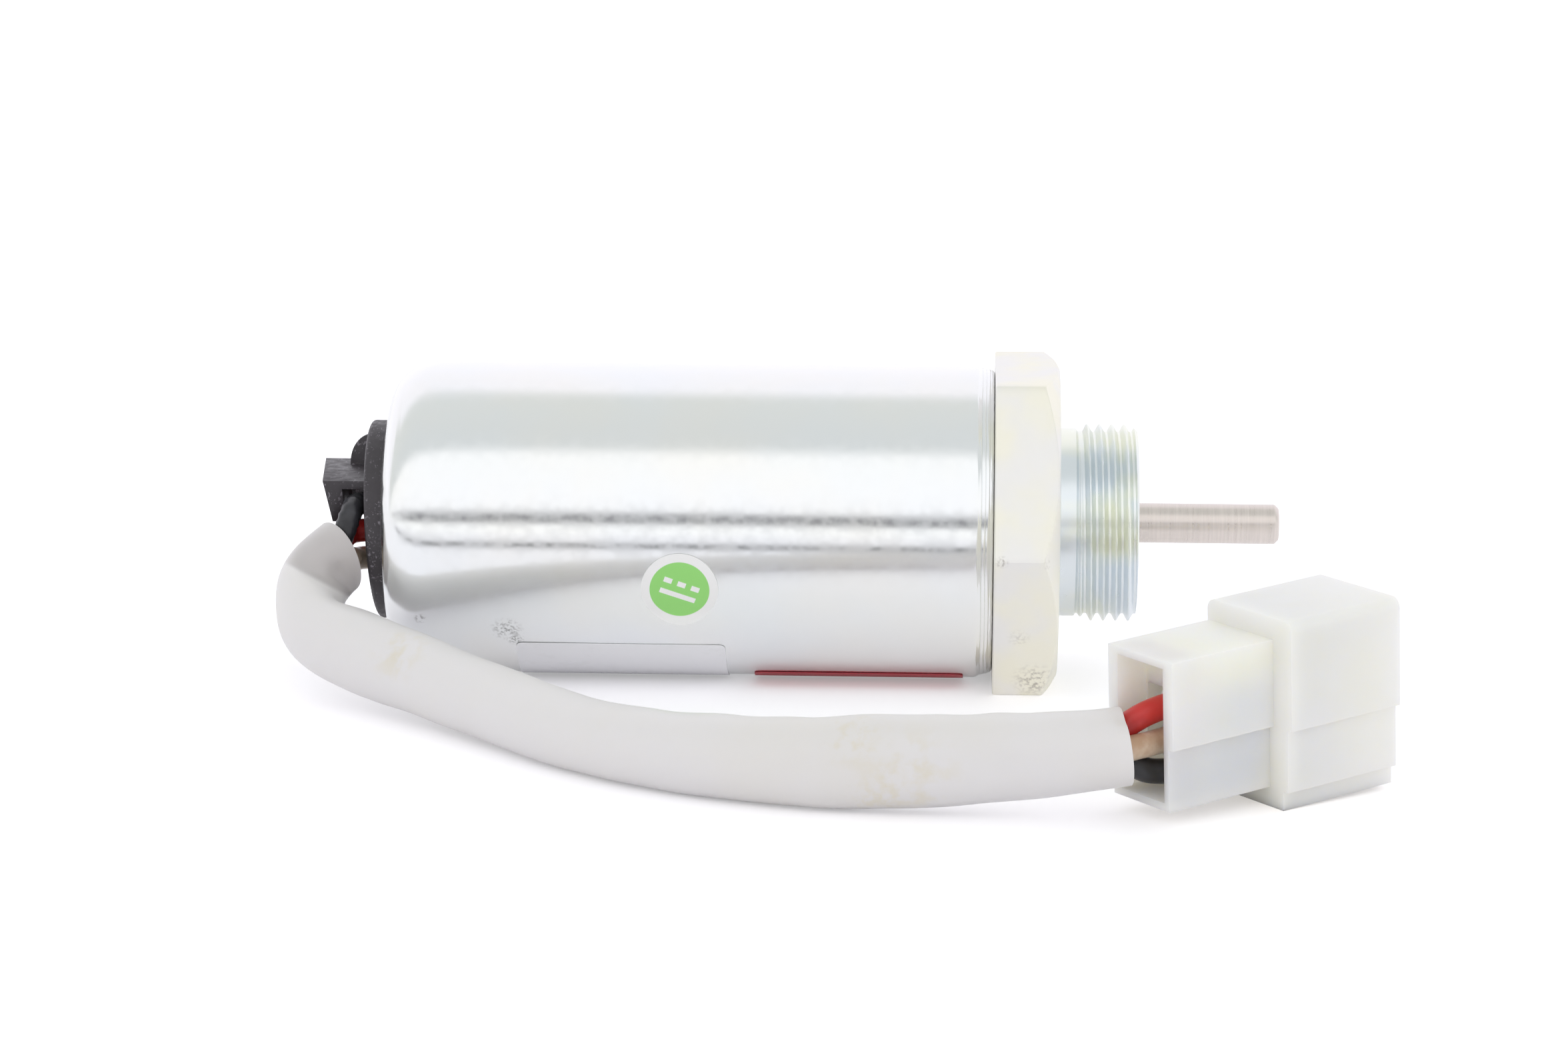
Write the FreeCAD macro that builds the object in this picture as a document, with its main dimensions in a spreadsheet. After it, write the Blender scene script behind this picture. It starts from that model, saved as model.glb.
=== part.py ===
import FreeCAD, Part
import math
import os
import re
import Sketcher
from FreeCAD import Placement, Rotation, Vector

# A pull-type fuel shutoff solenoid. Its axis lies along X with the push pin towards +X,
# the surface that it lies on is z = 0, and X = 0 is midway between lead hood and pin tip.

doc = FreeCAD.newDocument("fuel_shutoff_solenoid")
sheet = doc.addObject("Spreadsheet::Sheet", "Sizes")
parts = []

# Two places this near each other count as one, in mm.
NEAR = 0.01
# The shortest edge that still counts as an outer edge of a blade, in mm.
SHORT_EDGE = 1.0
# The share by which a swept tube's volume may differ from section times length.
TUBE_LEEWAY = 0.01

DRIVING = [
    # Drawn steel can
    ("can_dia", 38.0), ("can_length", 71.7), ("can_wall", 1.5), ("can_corner", 6.0),
    ("lip_length", 1.7), ("lip_drop", 0.6), ("lip_grip", 0.6), ("lip_gap", 0.1),
    # Turned front body with hexagon, neck and threaded boss
    ("hex_proud", 0.0), ("hex_round_over", 1.0), ("hex_length", 7.8), ("hex_bevel", 1.6),
    ("plate_thick", 6.0), ("neck_dia", 22.8), ("neck_length", 2.3),
    ("thread_dia", 24.0), ("thread_length", 7.2), ("thread_bevel", 0.9),
    ("relief_bore", 8.8), ("relief_end", 5.0), ("bush_wall", 1.1), ("bush_inset", 0.2),
    # Push pin and plunger
    ("pin_dia", 4.8), ("pin_reach", 17.2), ("pin_bevel", 0.5), ("pin_seat", 10.0),
    ("plunger_dia", 16.1), ("travel_length", 10.0), ("residual_gap", 0.3),
    ("nose_length", 3.6), ("nose_base", 14.4), ("nose_tip", 8.4), ("nose_clear", 0.1),
    ("ring_thick", 0.7), ("ring_dia", 8.2), ("groove_dia", 3.8), ("bumper_thick", 1.2),
    ("bumper_bore", 9.4), ("bumper_dia", 15.4),
    # Rear pole and return spring
    ("lead_space", 6.0), ("pole_plate", 4.0), ("gap_share", 0.332), ("board_thick", 0.8),
    ("spring_dia", 6.4), ("spring_wire", 0.9), ("spring_turns", 11.0),
    ("pole_bore_depth", 12.0), ("plunger_bore_depth", 8.0),
    # Winding
    ("guide_wall", 0.5), ("spool_wall", 0.95), ("spool_cheek", 1.5), ("spool_gap", 0.7),
    ("coil_depth", 1.0), ("pull_share", 0.53), ("wrap_thick", 0.35), ("washer_thick", 0.8),
    ("washer_edge", 1.0),
    # Clearances
    ("slide_clear", 0.05), ("seat_clear", 0.02), ("lay_clear", 0.05), ("board_clear", 0.3),
    ("spring_clear", 0.2),
    # Rear cap with its lead hood
    ("flange_dia", 24.2), ("flange_thick", 1.85), ("hood_reach", 5.45), ("hood_width", 13.0),
    ("hood_height", 5.0), ("hood_top", 5.5), ("hood_wall", 0.8), ("hood_post", 2.3),
    ("hood_roof", 1.0), ("hood_rake", 0.9),
    ("web_radius", 4.0), ("web_thick", 3.0), ("web_set_back", 3.0),
    ("spigot_dia", 4.0), ("spigot_past", 1.2), ("cap_round", 0.5),
    # Lead bushing
    ("lead_pitch", 3.4), ("lead_across", 5.0), ("lead_first", 2.6), ("bushing_width", 3.8),
    ("bushing_proud", 0.3), ("bushing_inside", 1.0), ("lead_depth", 2.0),
    ("lead_clear", 0.05), ("lead_straight", 2.3),
    # Leads and their sleeve
    ("wire_dia", 2.8), ("sleeve_dia", 8.8), ("sleeve_wall", 0.6), ("lay_clear_in", 0.35),
    ("sleeve_short", 0.8),
    # Connector
    ("block_width", 11.0), ("block_height", 17.0), ("block_length", 14.3),
    ("far_step", 0.2), ("top_step", 2.5), ("shroud_length", 15.8),
    ("side_step", 3.0), ("foot_drop", 2.3), ("half_step", 0.7), ("foot_step", 0.8),
    ("foot_height", 2.2), ("half_height", 9.4), ("shroud_wall", 1.2), ("shroud_floor", 1.5),
    ("recess_depth", 4.0), ("recess_wall", 0.9), ("chamber_side", 0.45), ("chamber_mid", 6.6),
    ("chamber_clear", 0.05), ("chamber_web", 0.35), ("slot_length", 1.0),
    ("slot_clear", 0.1), ("corner_round", 1.2),
    ("connector_x", 55.95), ("connector_y", -59.4), ("connector_turn", 37.0),
    ("connector_lift", 2.6),
    # Terminals
    ("blade_width", 6.3), ("blade_thick", 0.8), ("blade_free", 7.0), ("blade_bevel", 0.25),
    ("barrel_wall", 0.28), ("barrel_length", 5.0), ("barrel_grip", 3.0), ("barrel_clear", 0.02),
    # Stickers on the can
    ("label_thick", 0.1), ("label_lay", 0.03), ("spot_dia", 9.2), ("spot_set", 36.3),
    ("spot_angle", 13.8),
    ("plate_set", 16.7), ("plate_long", 24.8), ("plate_start", 40.0), ("plate_sweep", 40.0),
    ("band_set", 3.2), ("band_back", 1.8), ("band_start", 64.0), ("band_sweep", 16.0),
]

DERIVED = [
    ("hex_flats", "can_dia + 2 * hex_proud"),
    ("axis_height", "max(can_dia; hex_flats) / 2"),
    ("whole_length", "hood_reach + flange_thick + can_length + lip_length + hex_length"
                     " + neck_length + thread_length + pin_reach"),
    ("hood_left", "-whole_length / 2"),
    ("flange_left", "hood_left + hood_reach"),
    ("can_rear", "flange_left + flange_thick"),
    ("can_front", "can_rear + can_length"),
    ("can_floor", "can_rear + can_wall"),
    ("can_bore", "can_dia - 2 * can_wall"),
    ("hex_left", "can_front + lip_length"),
    ("hex_right", "hex_left + hex_length"),
    ("neck_end", "hex_right + neck_length"),
    ("thread_end", "neck_end + thread_length"),
    ("pin_tip", "thread_end + pin_reach"),
    ("hex_corner", "hex_flats / sqrt(3)"),
    ("plate_rear", "can_front - plate_thick"),
    ("pole_rear", "can_floor + lead_space"),
    ("pole_front", "pole_rear + pole_plate"),
    ("pole_face", "pole_front + (plate_rear - pole_front) * gap_share"),
    ("plunger_rear", "pole_face + travel_length + residual_gap"),
    ("plunger_front", "plate_rear - bumper_thick - slide_clear"),
    ("guide_bore", "plunger_dia + 2 * slide_clear"),
    ("guide_dia", "guide_bore + 2 * guide_wall"),
    ("spring_bore", "spring_dia + 2 * spring_clear"),
    ("spool_bore", "guide_dia + 2 * lay_clear"),
    ("spool_tube", "spool_bore + 2 * spool_wall"),
    ("spool_front", "plate_rear - washer_thick"),
    ("spool_dia", "can_bore - 2 * spool_gap"),
    ("wrap_outer", "spool_dia - 2 * coil_depth"),
    ("wrap_inner", "wrap_outer - 2 * wrap_thick"),
    ("hold_outer", "wrap_inner - 2 * lay_clear"),
    ("pull_inner", "spool_tube + 2 * lay_clear"),
    ("pull_outer", "pull_inner + (hold_outer - pull_inner) * pull_share"),
    ("hold_inner", "pull_outer + 2 * lay_clear"),
    ("pin_bore", "pin_dia + 2 * slide_clear"),
    ("bush_dia", "pin_bore + 2 * bush_wall"),
    ("bush_rear", "hex_left + relief_end"),
    ("pin_rear", "plunger_front - pin_seat"),
    ("lay_radius", "sleeve_dia / 2 - sleeve_wall - wire_dia / 2 - lay_clear_in"),
    ("shroud_width", "side_step + block_width + far_step"),
    ("shroud_height", "foot_drop + block_height + top_step"),
    ("barrel_bore", "wire_dia + 2 * barrel_clear"),
    ("barrel_dia", "barrel_bore + 2 * barrel_wall"),
    ("chamber_tall", "barrel_dia + 2 * chamber_clear"),
    ("chamber_pitch", "chamber_tall + chamber_web"),
    ("chamber_wide", "blade_width + 2 * chamber_side"),
    ("column_place", "side_step + block_width / 2"),
    ("barrel_rear", "-block_length + recess_depth"),
    ("label_inner", "can_dia / 2 + label_lay"),
    ("spot_place", "can_rear + spot_set"),
    ("plate_left", "can_rear + plate_set"),
    ("plate_right", "plate_left + plate_long"),
    ("band_left", "plate_right + band_set"),
    ("band_right", "can_front - band_back"),
    ("label_radius", "label_inner + label_thick"),
]

# Routes of the sleeve and of the free ends of the leads, in mm: how the soft harness lies.
SLEEVE_ROUTE = [
    (-55.2, -9.1, 16.1), (-58.5, -10.4, 13.7), (-59.1, -14.8, 10.4), (-56.4, -18.9, 8.3),
    (-51.2, -21.9, 7.1), (-44.7, -26.0, 5.8), (-34.7, -35.5, 4.8), (-22.2, -48.0, 4.5),
    (-8.2, -56.3, 4.5), (6.0, -60.3, 4.6), (16.4, -60.9, 5.1), (24.0, -61.0, 6.1),
    (31.1, -62.9, 7.4), (36.6, -61.9, 8.1),
]
# Each lead: its colour, the points between the bushing and the sleeve, its place in the
# bushing counted from the top, its chamber in the connector counted up from the lowest, and
# the angle at which it enters the lay inside the sleeve.
LEADS = [
    ("black", [(-53.8, -5.0, 21.6), (-53.9, -9.9, 21.9), (-55.1, -10.1, 18.0)], 0, 0, 66.0),
    ("white", [(-53.8, -5.0, 14.8), (-54.2, -9.5, 15.1)], 2, 1, 188.0),
    ("red", [(-53.8, -5.0, 18.2), (-55.4, -6.6, 17.8)], 1, 2, 316.0),
]
LAY_TWIST = 188.0


def fill_sheet():
    """Write the driving sizes and the sizes worked out from them, each with an alias."""
    names = "|".join(name for name, content in DRIVING + DERIVED)
    for row, (name, content) in enumerate(DRIVING + DERIVED, start=1):
        cell = "B%d" % row
        sheet.set("A%d" % row, name)
        sheet.set(cell, str(content) if not isinstance(content, str) else "=" + content)
        sheet.setAlias(cell, name)
    doc.recompute()
    return re.compile(r"\b(%s)\b" % names)


ALIAS = fill_sheet()


def bound(formula):
    """The expression with its aliases named as cells of the sheet."""
    return ALIAS.sub(r"Sizes.\1", formula)


def size(formula):
    """The present value of a formula of the sheet's aliases."""
    return float(sheet.evalExpression(bound(formula)))


def bind(thing, **formulas):
    """Bind properties of an object to formulas; a double underscore stands for a dot."""
    for name, formula in formulas.items():
        thing.setExpression(name.replace("__", "."), bound(formula))


def keep(thing, label):
    """Name a finished piece and list it for writing."""
    thing.Label = label
    parts.append(thing)
    return thing


def new_body(label):
    """A body whose own X axis is the solenoid's axis."""
    body = keep(doc.addObject("PartDesign::Body", label), label)
    bind(body, Placement__Base__z="axis_height")
    return body


def plane(body, role):
    """One of the body's own origin planes."""
    return [item for item in body.Origin.OriginFeatures if item.Role == role][0]


def sketch_on(body, name, role, offset=None):
    """A sketch on an origin plane, moved along the plane's normal by a formula."""
    sketch = body.newObject("Sketcher::SketchObject", name)
    sketch.AttachmentSupport = [(plane(body, role), "")]
    sketch.MapMode = "FlatFace"
    if offset:
        sketch.setExpression("AttachmentOffset.Base.z", bound(offset))
    return sketch


def add_outline(sketch, corners):
    """A closed outline of straight lines, each corner bound to two formulas."""
    places = [Vector(size(across), size(along), 0) for across, along in corners]
    first = sketch.GeometryCount
    for index, place in enumerate(places):
        sketch.addGeometry(Part.LineSegment(place, places[(index + 1) % len(places)]), False)
    for index in range(len(corners)):
        line = first + index
        following = first + (index + 1) % len(corners)
        sketch.addConstraint(Sketcher.Constraint("Coincident", line, 2, following, 1))
    for index, corner in enumerate(corners):
        for kind, formula in zip(("DistanceX", "DistanceY"), corner):
            number = sketch.addConstraint(
                Sketcher.Constraint(kind, -1, 1, first + index, 1, size(formula)))
            sketch.setExpression("Constraints[%d]" % number, bound(formula))


def add_circle(sketch, across, along, radius):
    """A circle whose centre and radius are bound to formulas."""
    number = sketch.GeometryCount
    centre = Vector(size(across), size(along), 0)
    sketch.addGeometry(Part.Circle(centre, Vector(0, 0, 1), size(radius)), False)
    for constraint, formula in (
            (Sketcher.Constraint("DistanceX", -1, 1, number, 3, size(across)), across),
            (Sketcher.Constraint("DistanceY", -1, 1, number, 3, size(along)), along),
            (Sketcher.Constraint("Radius", number, size(radius)), radius)):
        place = sketch.addConstraint(constraint)
        sketch.setExpression("Constraints[%d]" % place, bound(formula))


def rectangle(low_across, high_across, low_along, high_along):
    """The four corners of an upright rectangle."""
    return [(low_across, low_along), (high_across, low_along),
            (high_across, high_along), (low_across, high_along)]


def revolve(body, profile):
    """Turn a half section, given as (x, radius) corners, round the body's X axis."""
    sketch = sketch_on(body, body.Label + "_section", "XY_Plane")
    add_outline(sketch, profile)
    turn = body.newObject("PartDesign::Revolution", body.Label + "_turned")
    turn.Profile = sketch
    turn.ReferenceAxis = (sketch, ["H_Axis"])
    turn.Angle = 360.0
    sketch.Visibility = False
    doc.recompute()
    return turn


def turned(label, profile):
    """A piece that is one turned section."""
    body = new_body(label)
    revolve(body, profile)
    return body


def ring(label, left, right, inner, outer):
    """A turned ring or tube between two stations and two diameters."""
    corners = rectangle(left, right, "(%s) / 2" % inner, "(%s) / 2" % outer)
    return turned(label, corners)


def pad(body, sketch, length):
    """Pad a sketch along its plane's normal."""
    feature = body.newObject("PartDesign::Pad", sketch.Label + "_pad")
    feature.Profile = sketch
    bind(feature, Length=length)
    sketch.Visibility = False
    doc.recompute()
    return feature


def pocket(body, sketch, length, forwards):
    """Cut a sketch out of the body, along its plane's normal or against it."""
    before = body.Shape.Volume
    feature = body.newObject("PartDesign::Pocket", sketch.Label + "_cut")
    feature.Profile = sketch
    feature.Reversed = forwards
    bind(feature, Length=length)
    sketch.Visibility = False
    doc.recompute()
    if body.Shape.Volume > before - NEAR:
        raise RuntimeError(sketch.Label + " cuts nothing")
    return feature


def round_edges(body, wanted, radius, kind="PartDesign::Fillet"):
    """Fillet or chamfer the edges of the tip that the test picks."""
    tip = body.Tip
    names = ["Edge%d" % (number + 1)
             for number, edge in enumerate(tip.Shape.Edges) if wanted(edge)]
    if not names:
        raise RuntimeError(body.Label + " has no such edge")
    feature = body.newObject(kind, body.Label + "_" + kind.split("::")[1].lower())
    feature.Base = (tip, names)
    bind(feature, **{"Radius" if kind.endswith("Fillet") else "Size": radius})
    doc.recompute()
    return feature


def is_hoop(edge, station, radius):
    """Whether an edge is the circle round the X axis at this station and radius."""
    box = edge.BoundBox
    return (abs(box.XMin - size(station)) < NEAR and abs(box.XMax - size(station)) < NEAR
            and abs(box.YMax - size(radius)) < NEAR and abs(box.YMin + size(radius)) < NEAR)


def lead_window(body, name, offset, clearance, depth, forwards):
    """The upright slot with round ends that the lead bushing sits in."""
    sketch = sketch_on(body, name, "YZ_Plane", offset)
    half = size("bushing_width / 2 + %s" % clearance)
    top = size("lead_first")
    bottom = size("lead_first - 2 * lead_pitch")
    across = size("-lead_across")
    left, right = across - half, across + half
    sketch.addGeometry(Part.LineSegment(Vector(left, top, 0), Vector(left, bottom, 0)), False)
    sketch.addGeometry(Part.ArcOfCircle(Part.Circle(Vector(across, bottom, 0),
                       Vector(0, 0, 1), half), math.pi, 2 * math.pi), False)
    sketch.addGeometry(Part.LineSegment(Vector(right, bottom, 0), Vector(right, top, 0)), False)
    sketch.addGeometry(Part.ArcOfCircle(Part.Circle(Vector(across, top, 0),
                       Vector(0, 0, 1), half), 0, math.pi), False)
    for first, first_end, second, second_end in ((0, 2, 1, 1), (1, 2, 2, 1), (2, 2, 3, 1),
                                                 (3, 2, 0, 1)):
        sketch.addConstraint(Sketcher.Constraint("Tangent", first, first_end,
                                                 second, second_end))
    for constraint, formula in (
            (Sketcher.Constraint("DistanceX", -1, 1, 1, 3, across), "-lead_across"),
            (Sketcher.Constraint("DistanceY", -1, 1, 1, 3, bottom),
             "lead_first - 2 * lead_pitch"),
            (Sketcher.Constraint("DistanceY", -1, 1, 3, 3, top), "lead_first"),
            (Sketcher.Constraint("Radius", 1, half), "bushing_width / 2 + " + clearance)):
        number = sketch.addConstraint(constraint)
        sketch.setExpression("Constraints[%d]" % number, bound(formula))
    if depth is None:
        return sketch
    return pocket(body, sketch, depth, forwards)


def make_can():
    """Drawn cup: closed rounded rear end, straight wall, lip rolled in over the front body."""
    can = turned("can", [
        ("can_rear", "0"), ("can_floor", "0"), ("can_floor", "can_bore / 2"),
        ("can_front", "can_bore / 2"), ("can_front", "can_bore / 2 - lip_grip"),
        ("hex_left - lip_gap", "can_bore / 2 - lip_grip"),
        ("hex_left - lip_gap", "can_dia / 2 - lip_drop"),
        ("can_front", "can_dia / 2"), ("can_rear", "can_dia / 2")])
    round_edges(can, lambda edge: is_hoop(edge, "can_rear", "can_dia / 2"), "can_corner")
    round_edges(can, lambda edge: is_hoop(edge, "can_floor", "can_bore / 2"),
                "can_corner - can_wall")
    spigot_hole = sketch_on(can, "spigot_hole", "YZ_Plane", "can_rear")
    add_circle(spigot_hole, "0", "0", "spigot_dia / 2 + seat_clear")
    pocket(can, spigot_hole, "can_wall", True)
    lead_window(can, "can_window", "can_rear", "seat_clear", "can_wall", True)


def make_hex_body():
    """One turned piece: pole plate, groove under the lip, hexagon, neck and threaded boss."""
    body = turned("hex_body", [
        ("plate_rear", "relief_bore / 2"), ("plate_rear", "can_bore / 2 - seat_clear"),
        ("can_front", "can_bore / 2 - seat_clear"),
        ("can_front", "can_bore / 2 - lip_grip - seat_clear"),
        ("hex_left", "can_bore / 2 - lip_grip - seat_clear"),
        ("hex_left", "hex_corner"), ("hex_right - hex_bevel", "hex_corner"),
        ("hex_right", "hex_corner - hex_bevel / tan(30)"),
        ("hex_right", "neck_dia / 2"), ("neck_end", "neck_dia / 2"),
        ("neck_end", "thread_dia / 2"), ("thread_end - thread_bevel", "thread_dia / 2"),
        ("thread_end", "thread_dia / 2 - thread_bevel"),
        ("thread_end", "bush_dia / 2 + seat_clear"),
        ("bush_rear", "bush_dia / 2 + seat_clear"), ("bush_rear", "relief_bore / 2")])
    flats = sketch_on(body, "hexagon", "YZ_Plane", "hex_left")
    add_outline(flats, [
        ("hex_corner", "0"), ("hex_corner / 2", "hex_flats / 2"),
        ("-hex_corner / 2", "hex_flats / 2"), ("-hex_corner", "0"),
        ("-hex_corner / 2", "-hex_flats / 2"), ("hex_corner / 2", "-hex_flats / 2")])
    add_circle(flats, "0", "0", "hex_corner + hex_round_over")
    pocket(body, flats, "hex_length", True)


def make_front_pieces():
    """Bush in the boss, stop bumper behind the pole plate, and the washer at the spool."""
    ring("pin_bush", "bush_rear", "thread_end - bush_inset", "pin_bore", "bush_dia")
    ring("stop_bumper", "plate_rear - bumper_thick", "plate_rear", "bumper_bore", "bumper_dia")
    turned("spring_washer", [
        ("spool_front", "spool_tube / 2"), ("spool_front + washer_thick / 2", "spool_tube / 2"),
        ("plate_rear", "spool_dia / 2 - washer_edge"),
        ("plate_rear - washer_thick / 2", "spool_dia / 2 - washer_edge")])


def make_rear_pole():
    """Fixed pole: plate across the can, core inside the guide tube, cone seat, spring bore."""
    turned("rear_pole", [
        ("pole_rear", "0"), ("pole_face - pole_bore_depth", "0"),
        ("pole_face - pole_bore_depth", "spring_bore / 2"),
        ("pole_face - nose_length", "spring_bore / 2"),
        ("pole_face - nose_length", "nose_tip / 2 + nose_clear"),
        ("pole_face", "nose_base / 2 + nose_clear"),
        ("pole_face", "guide_bore / 2 - seat_clear"),
        ("pole_front", "guide_bore / 2 - seat_clear"),
        ("pole_front", "can_bore / 2 - seat_clear"),
        ("pole_rear", "can_bore / 2 - seat_clear")])
    ring("terminal_board", "pole_rear - board_thick", "pole_rear",
         "spigot_dia + 2 * board_clear", "can_bore - 2 * board_clear")


def make_winding():
    """Guide tube, spool, the two coils wound one over the other, and the wrap of tape."""
    ring("guide_tube", "pole_front", "plate_rear", "guide_bore", "guide_dia")
    turned("spool", [
        ("pole_front", "spool_bore / 2"), ("spool_front", "spool_bore / 2"),
        ("spool_front", "spool_dia / 2"), ("spool_front - spool_cheek", "spool_dia / 2"),
        ("spool_front - spool_cheek", "spool_tube / 2"),
        ("pole_front + spool_cheek", "spool_tube / 2"),
        ("pole_front + spool_cheek", "spool_dia / 2"), ("pole_front", "spool_dia / 2")])
    left = "pole_front + spool_cheek + lay_clear"
    right = "spool_front - spool_cheek - lay_clear"
    ring("pull_coil", left, right, "pull_inner", "pull_outer")
    ring("hold_coil", left, right, "hold_inner", "hold_outer")
    ring("coil_wrap", left, right, "wrap_inner", "wrap_outer")


def make_plunger():
    """Moving core with cone nose, spring bore behind and the pin's seat in front."""
    turned("plunger", [
        ("plunger_rear - nose_length", "spring_bore / 2"),
        ("plunger_rear - nose_length", "nose_tip / 2"), ("plunger_rear", "nose_base / 2"),
        ("plunger_rear", "plunger_dia / 2"), ("plunger_front", "plunger_dia / 2"),
        ("plunger_front", "pin_dia / 2 + seat_clear"),
        ("pin_rear", "pin_dia / 2 + seat_clear"), ("pin_rear", "0"),
        ("plunger_rear - nose_length + plunger_bore_depth", "0"),
        ("plunger_rear - nose_length + plunger_bore_depth", "spring_bore / 2")])
    turned("push_pin", [
        ("pin_rear", "0"), ("pin_rear", "pin_dia / 2"), ("plunger_front", "pin_dia / 2"),
        ("plunger_front", "groove_dia / 2"), ("plunger_front + ring_thick", "groove_dia / 2"),
        ("plunger_front + ring_thick", "pin_dia / 2"),
        ("pin_tip - pin_bevel", "pin_dia / 2"), ("pin_tip", "pin_dia / 2 - pin_bevel"),
        ("pin_tip", "0")])
    ring("pin_ring", "plunger_front + seat_clear", "plunger_front + ring_thick - seat_clear",
         "groove_dia + 2 * seat_clear", "ring_dia")


def make_return_spring():
    """Helical spring between the pole's bore and the plunger's bore."""
    wire = size("spring_wire")
    left = size("pole_face - pole_bore_depth") + wire / 2
    right = size("plunger_rear - nose_length + plunger_bore_depth") - wire / 2
    radius = size("(spring_dia - spring_wire) / 2")
    helix = Part.makeHelix((right - left) / size("spring_turns"), right - left, radius)
    section = Part.Wire(Part.makeCircle(wire / 2, Vector(radius, 0, 0), Vector(0, 1, 0)))
    spring = doc.addObject("Part::Feature", "return_spring")
    spring.Shape = Part.Wire(helix).makePipeShell([section], True, True)
    spring.Placement = Placement(Vector(left, 0, size("axis_height")),
                                 Rotation(Vector(0, 1, 0), 90))
    keep(spring, "return_spring")


def make_end_cap():
    """Moulded rear cap: round flange with spigot, lead hood and a quarter-round web."""
    cap = turned("end_cap", [
        ("flange_left", "0"), ("can_floor + spigot_past", "0"),
        ("can_floor + spigot_past", "spigot_dia / 2"), ("can_rear", "spigot_dia / 2"),
        ("can_rear", "flange_dia / 2"), ("flange_left", "flange_dia / 2")])
    round_edges(cap, lambda edge: is_hoop(edge, "flange_left", "flange_dia / 2"), "cap_round")
    hood = sketch_on(cap, "hood", "XZ_Plane", "-hood_width / 2")
    add_outline(hood, [
        ("flange_left", "hood_top"), ("hood_left", "hood_top"),
        ("hood_left + hood_rake", "hood_top - hood_height"),
        ("hood_left + hood_post", "hood_top - hood_height"),
        ("hood_left + hood_post", "hood_top - hood_roof"),
        ("flange_left", "hood_top - hood_roof")])
    pad(cap, hood, "hood_width")
    far_wall = sketch_on(cap, "hood_wall", "XZ_Plane", "-hood_width / 2")
    add_outline(far_wall, rectangle("hood_left + hood_post", "flange_left",
                                    "hood_top - hood_height", "hood_top - hood_roof"))
    pad(cap, far_wall, "hood_wall")
    web = sketch_on(cap, "hood_web", "XZ_Plane", "-web_set_back - web_thick")
    corner = Vector(size("flange_left"), size("hood_top"), 0)
    reach = size("web_radius")
    web.addGeometry(Part.LineSegment(corner, corner + Vector(0, reach, 0)), False)
    web.addGeometry(Part.ArcOfCircle(Part.Circle(corner, Vector(0, 0, 1), reach),
                                     math.pi / 2, math.pi), False)
    web.addGeometry(Part.LineSegment(corner + Vector(-reach, 0, 0), corner), False)
    web.addConstraint(Sketcher.Constraint("Coincident", 0, 2, 1, 1))
    web.addConstraint(Sketcher.Constraint("Coincident", 1, 2, 2, 1))
    web.addConstraint(Sketcher.Constraint("Coincident", 2, 2, 0, 1))
    web.addConstraint(Sketcher.Constraint("Coincident", 1, 3, 0, 1))
    web.addConstraint(Sketcher.Constraint("Vertical", 0))
    web.addConstraint(Sketcher.Constraint("Horizontal", 2))
    for constraint, formula in (
            (Sketcher.Constraint("DistanceX", -1, 1, 0, 1, corner.x), "flange_left"),
            (Sketcher.Constraint("DistanceY", -1, 1, 0, 1, corner.y), "hood_top"),
            (Sketcher.Constraint("Radius", 1, reach), "web_radius")):
        number = web.addConstraint(constraint)
        web.setExpression("Constraints[%d]" % number, bound(formula))
    pad(cap, web, "web_thick")
    lead_window(cap, "cap_window", "flange_left", "seat_clear", "flange_thick", True)


def make_lead_bushing():
    """Rubber bushing through cap and can, with a blind seat for each lead."""
    body = new_body("lead_bushing")
    outline = lead_window(body, "bushing_outline", "flange_left - bushing_proud", "0", None, True)
    pad(body, outline, "bushing_proud + flange_thick + can_wall + bushing_inside")
    seats = sketch_on(body, "lead_seats", "YZ_Plane", "flange_left - bushing_proud")
    for place in range(len(LEADS)):
        add_circle(seats, "-lead_across", "lead_first - %d * lead_pitch" % place,
                   "wire_dia / 2 + lead_clear")
    pocket(body, seats, "lead_depth", True)


def connector_place():
    """Where the connector lies: its own X runs from its wire end to its mouth."""
    lifted = Rotation(Vector(0, 1, 0), -size("connector_lift"))
    heading = Rotation(Vector(0, 0, 1), size("connector_turn"))
    return Placement(Vector(size("connector_x"), size("connector_y"), 0),
                     heading.multiply(lifted))


def new_connector_body(label):
    """A body in the connector's own frame."""
    body = keep(doc.addObject("PartDesign::Body", label), label)
    body.Placement = connector_place()
    bind(body, Placement__Base__x="connector_x", Placement__Base__y="connector_y")
    return body


def stepped_section(sketch, left, right, bottom, top, foot):
    """A section that is narrower below half height, and narrower again at its foot."""
    half = "half_height"
    corners = [("%s + half_step" % left, half), (left, half), (left, top), (right, top),
               (right, half), ("%s - half_step" % right, half)]
    if foot:
        corners += [("%s - half_step" % right, "foot_height"),
                    ("%s - half_step - foot_step" % right, "foot_height"),
                    ("%s - half_step - foot_step" % right, bottom),
                    ("%s + half_step + foot_step" % left, bottom),
                    ("%s + half_step + foot_step" % left, "foot_height"),
                    ("%s + half_step" % left, "foot_height")]
    else:
        corners += [("%s - half_step" % right, bottom), ("%s + half_step" % left, bottom)]
    add_outline(sketch, corners)


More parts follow.
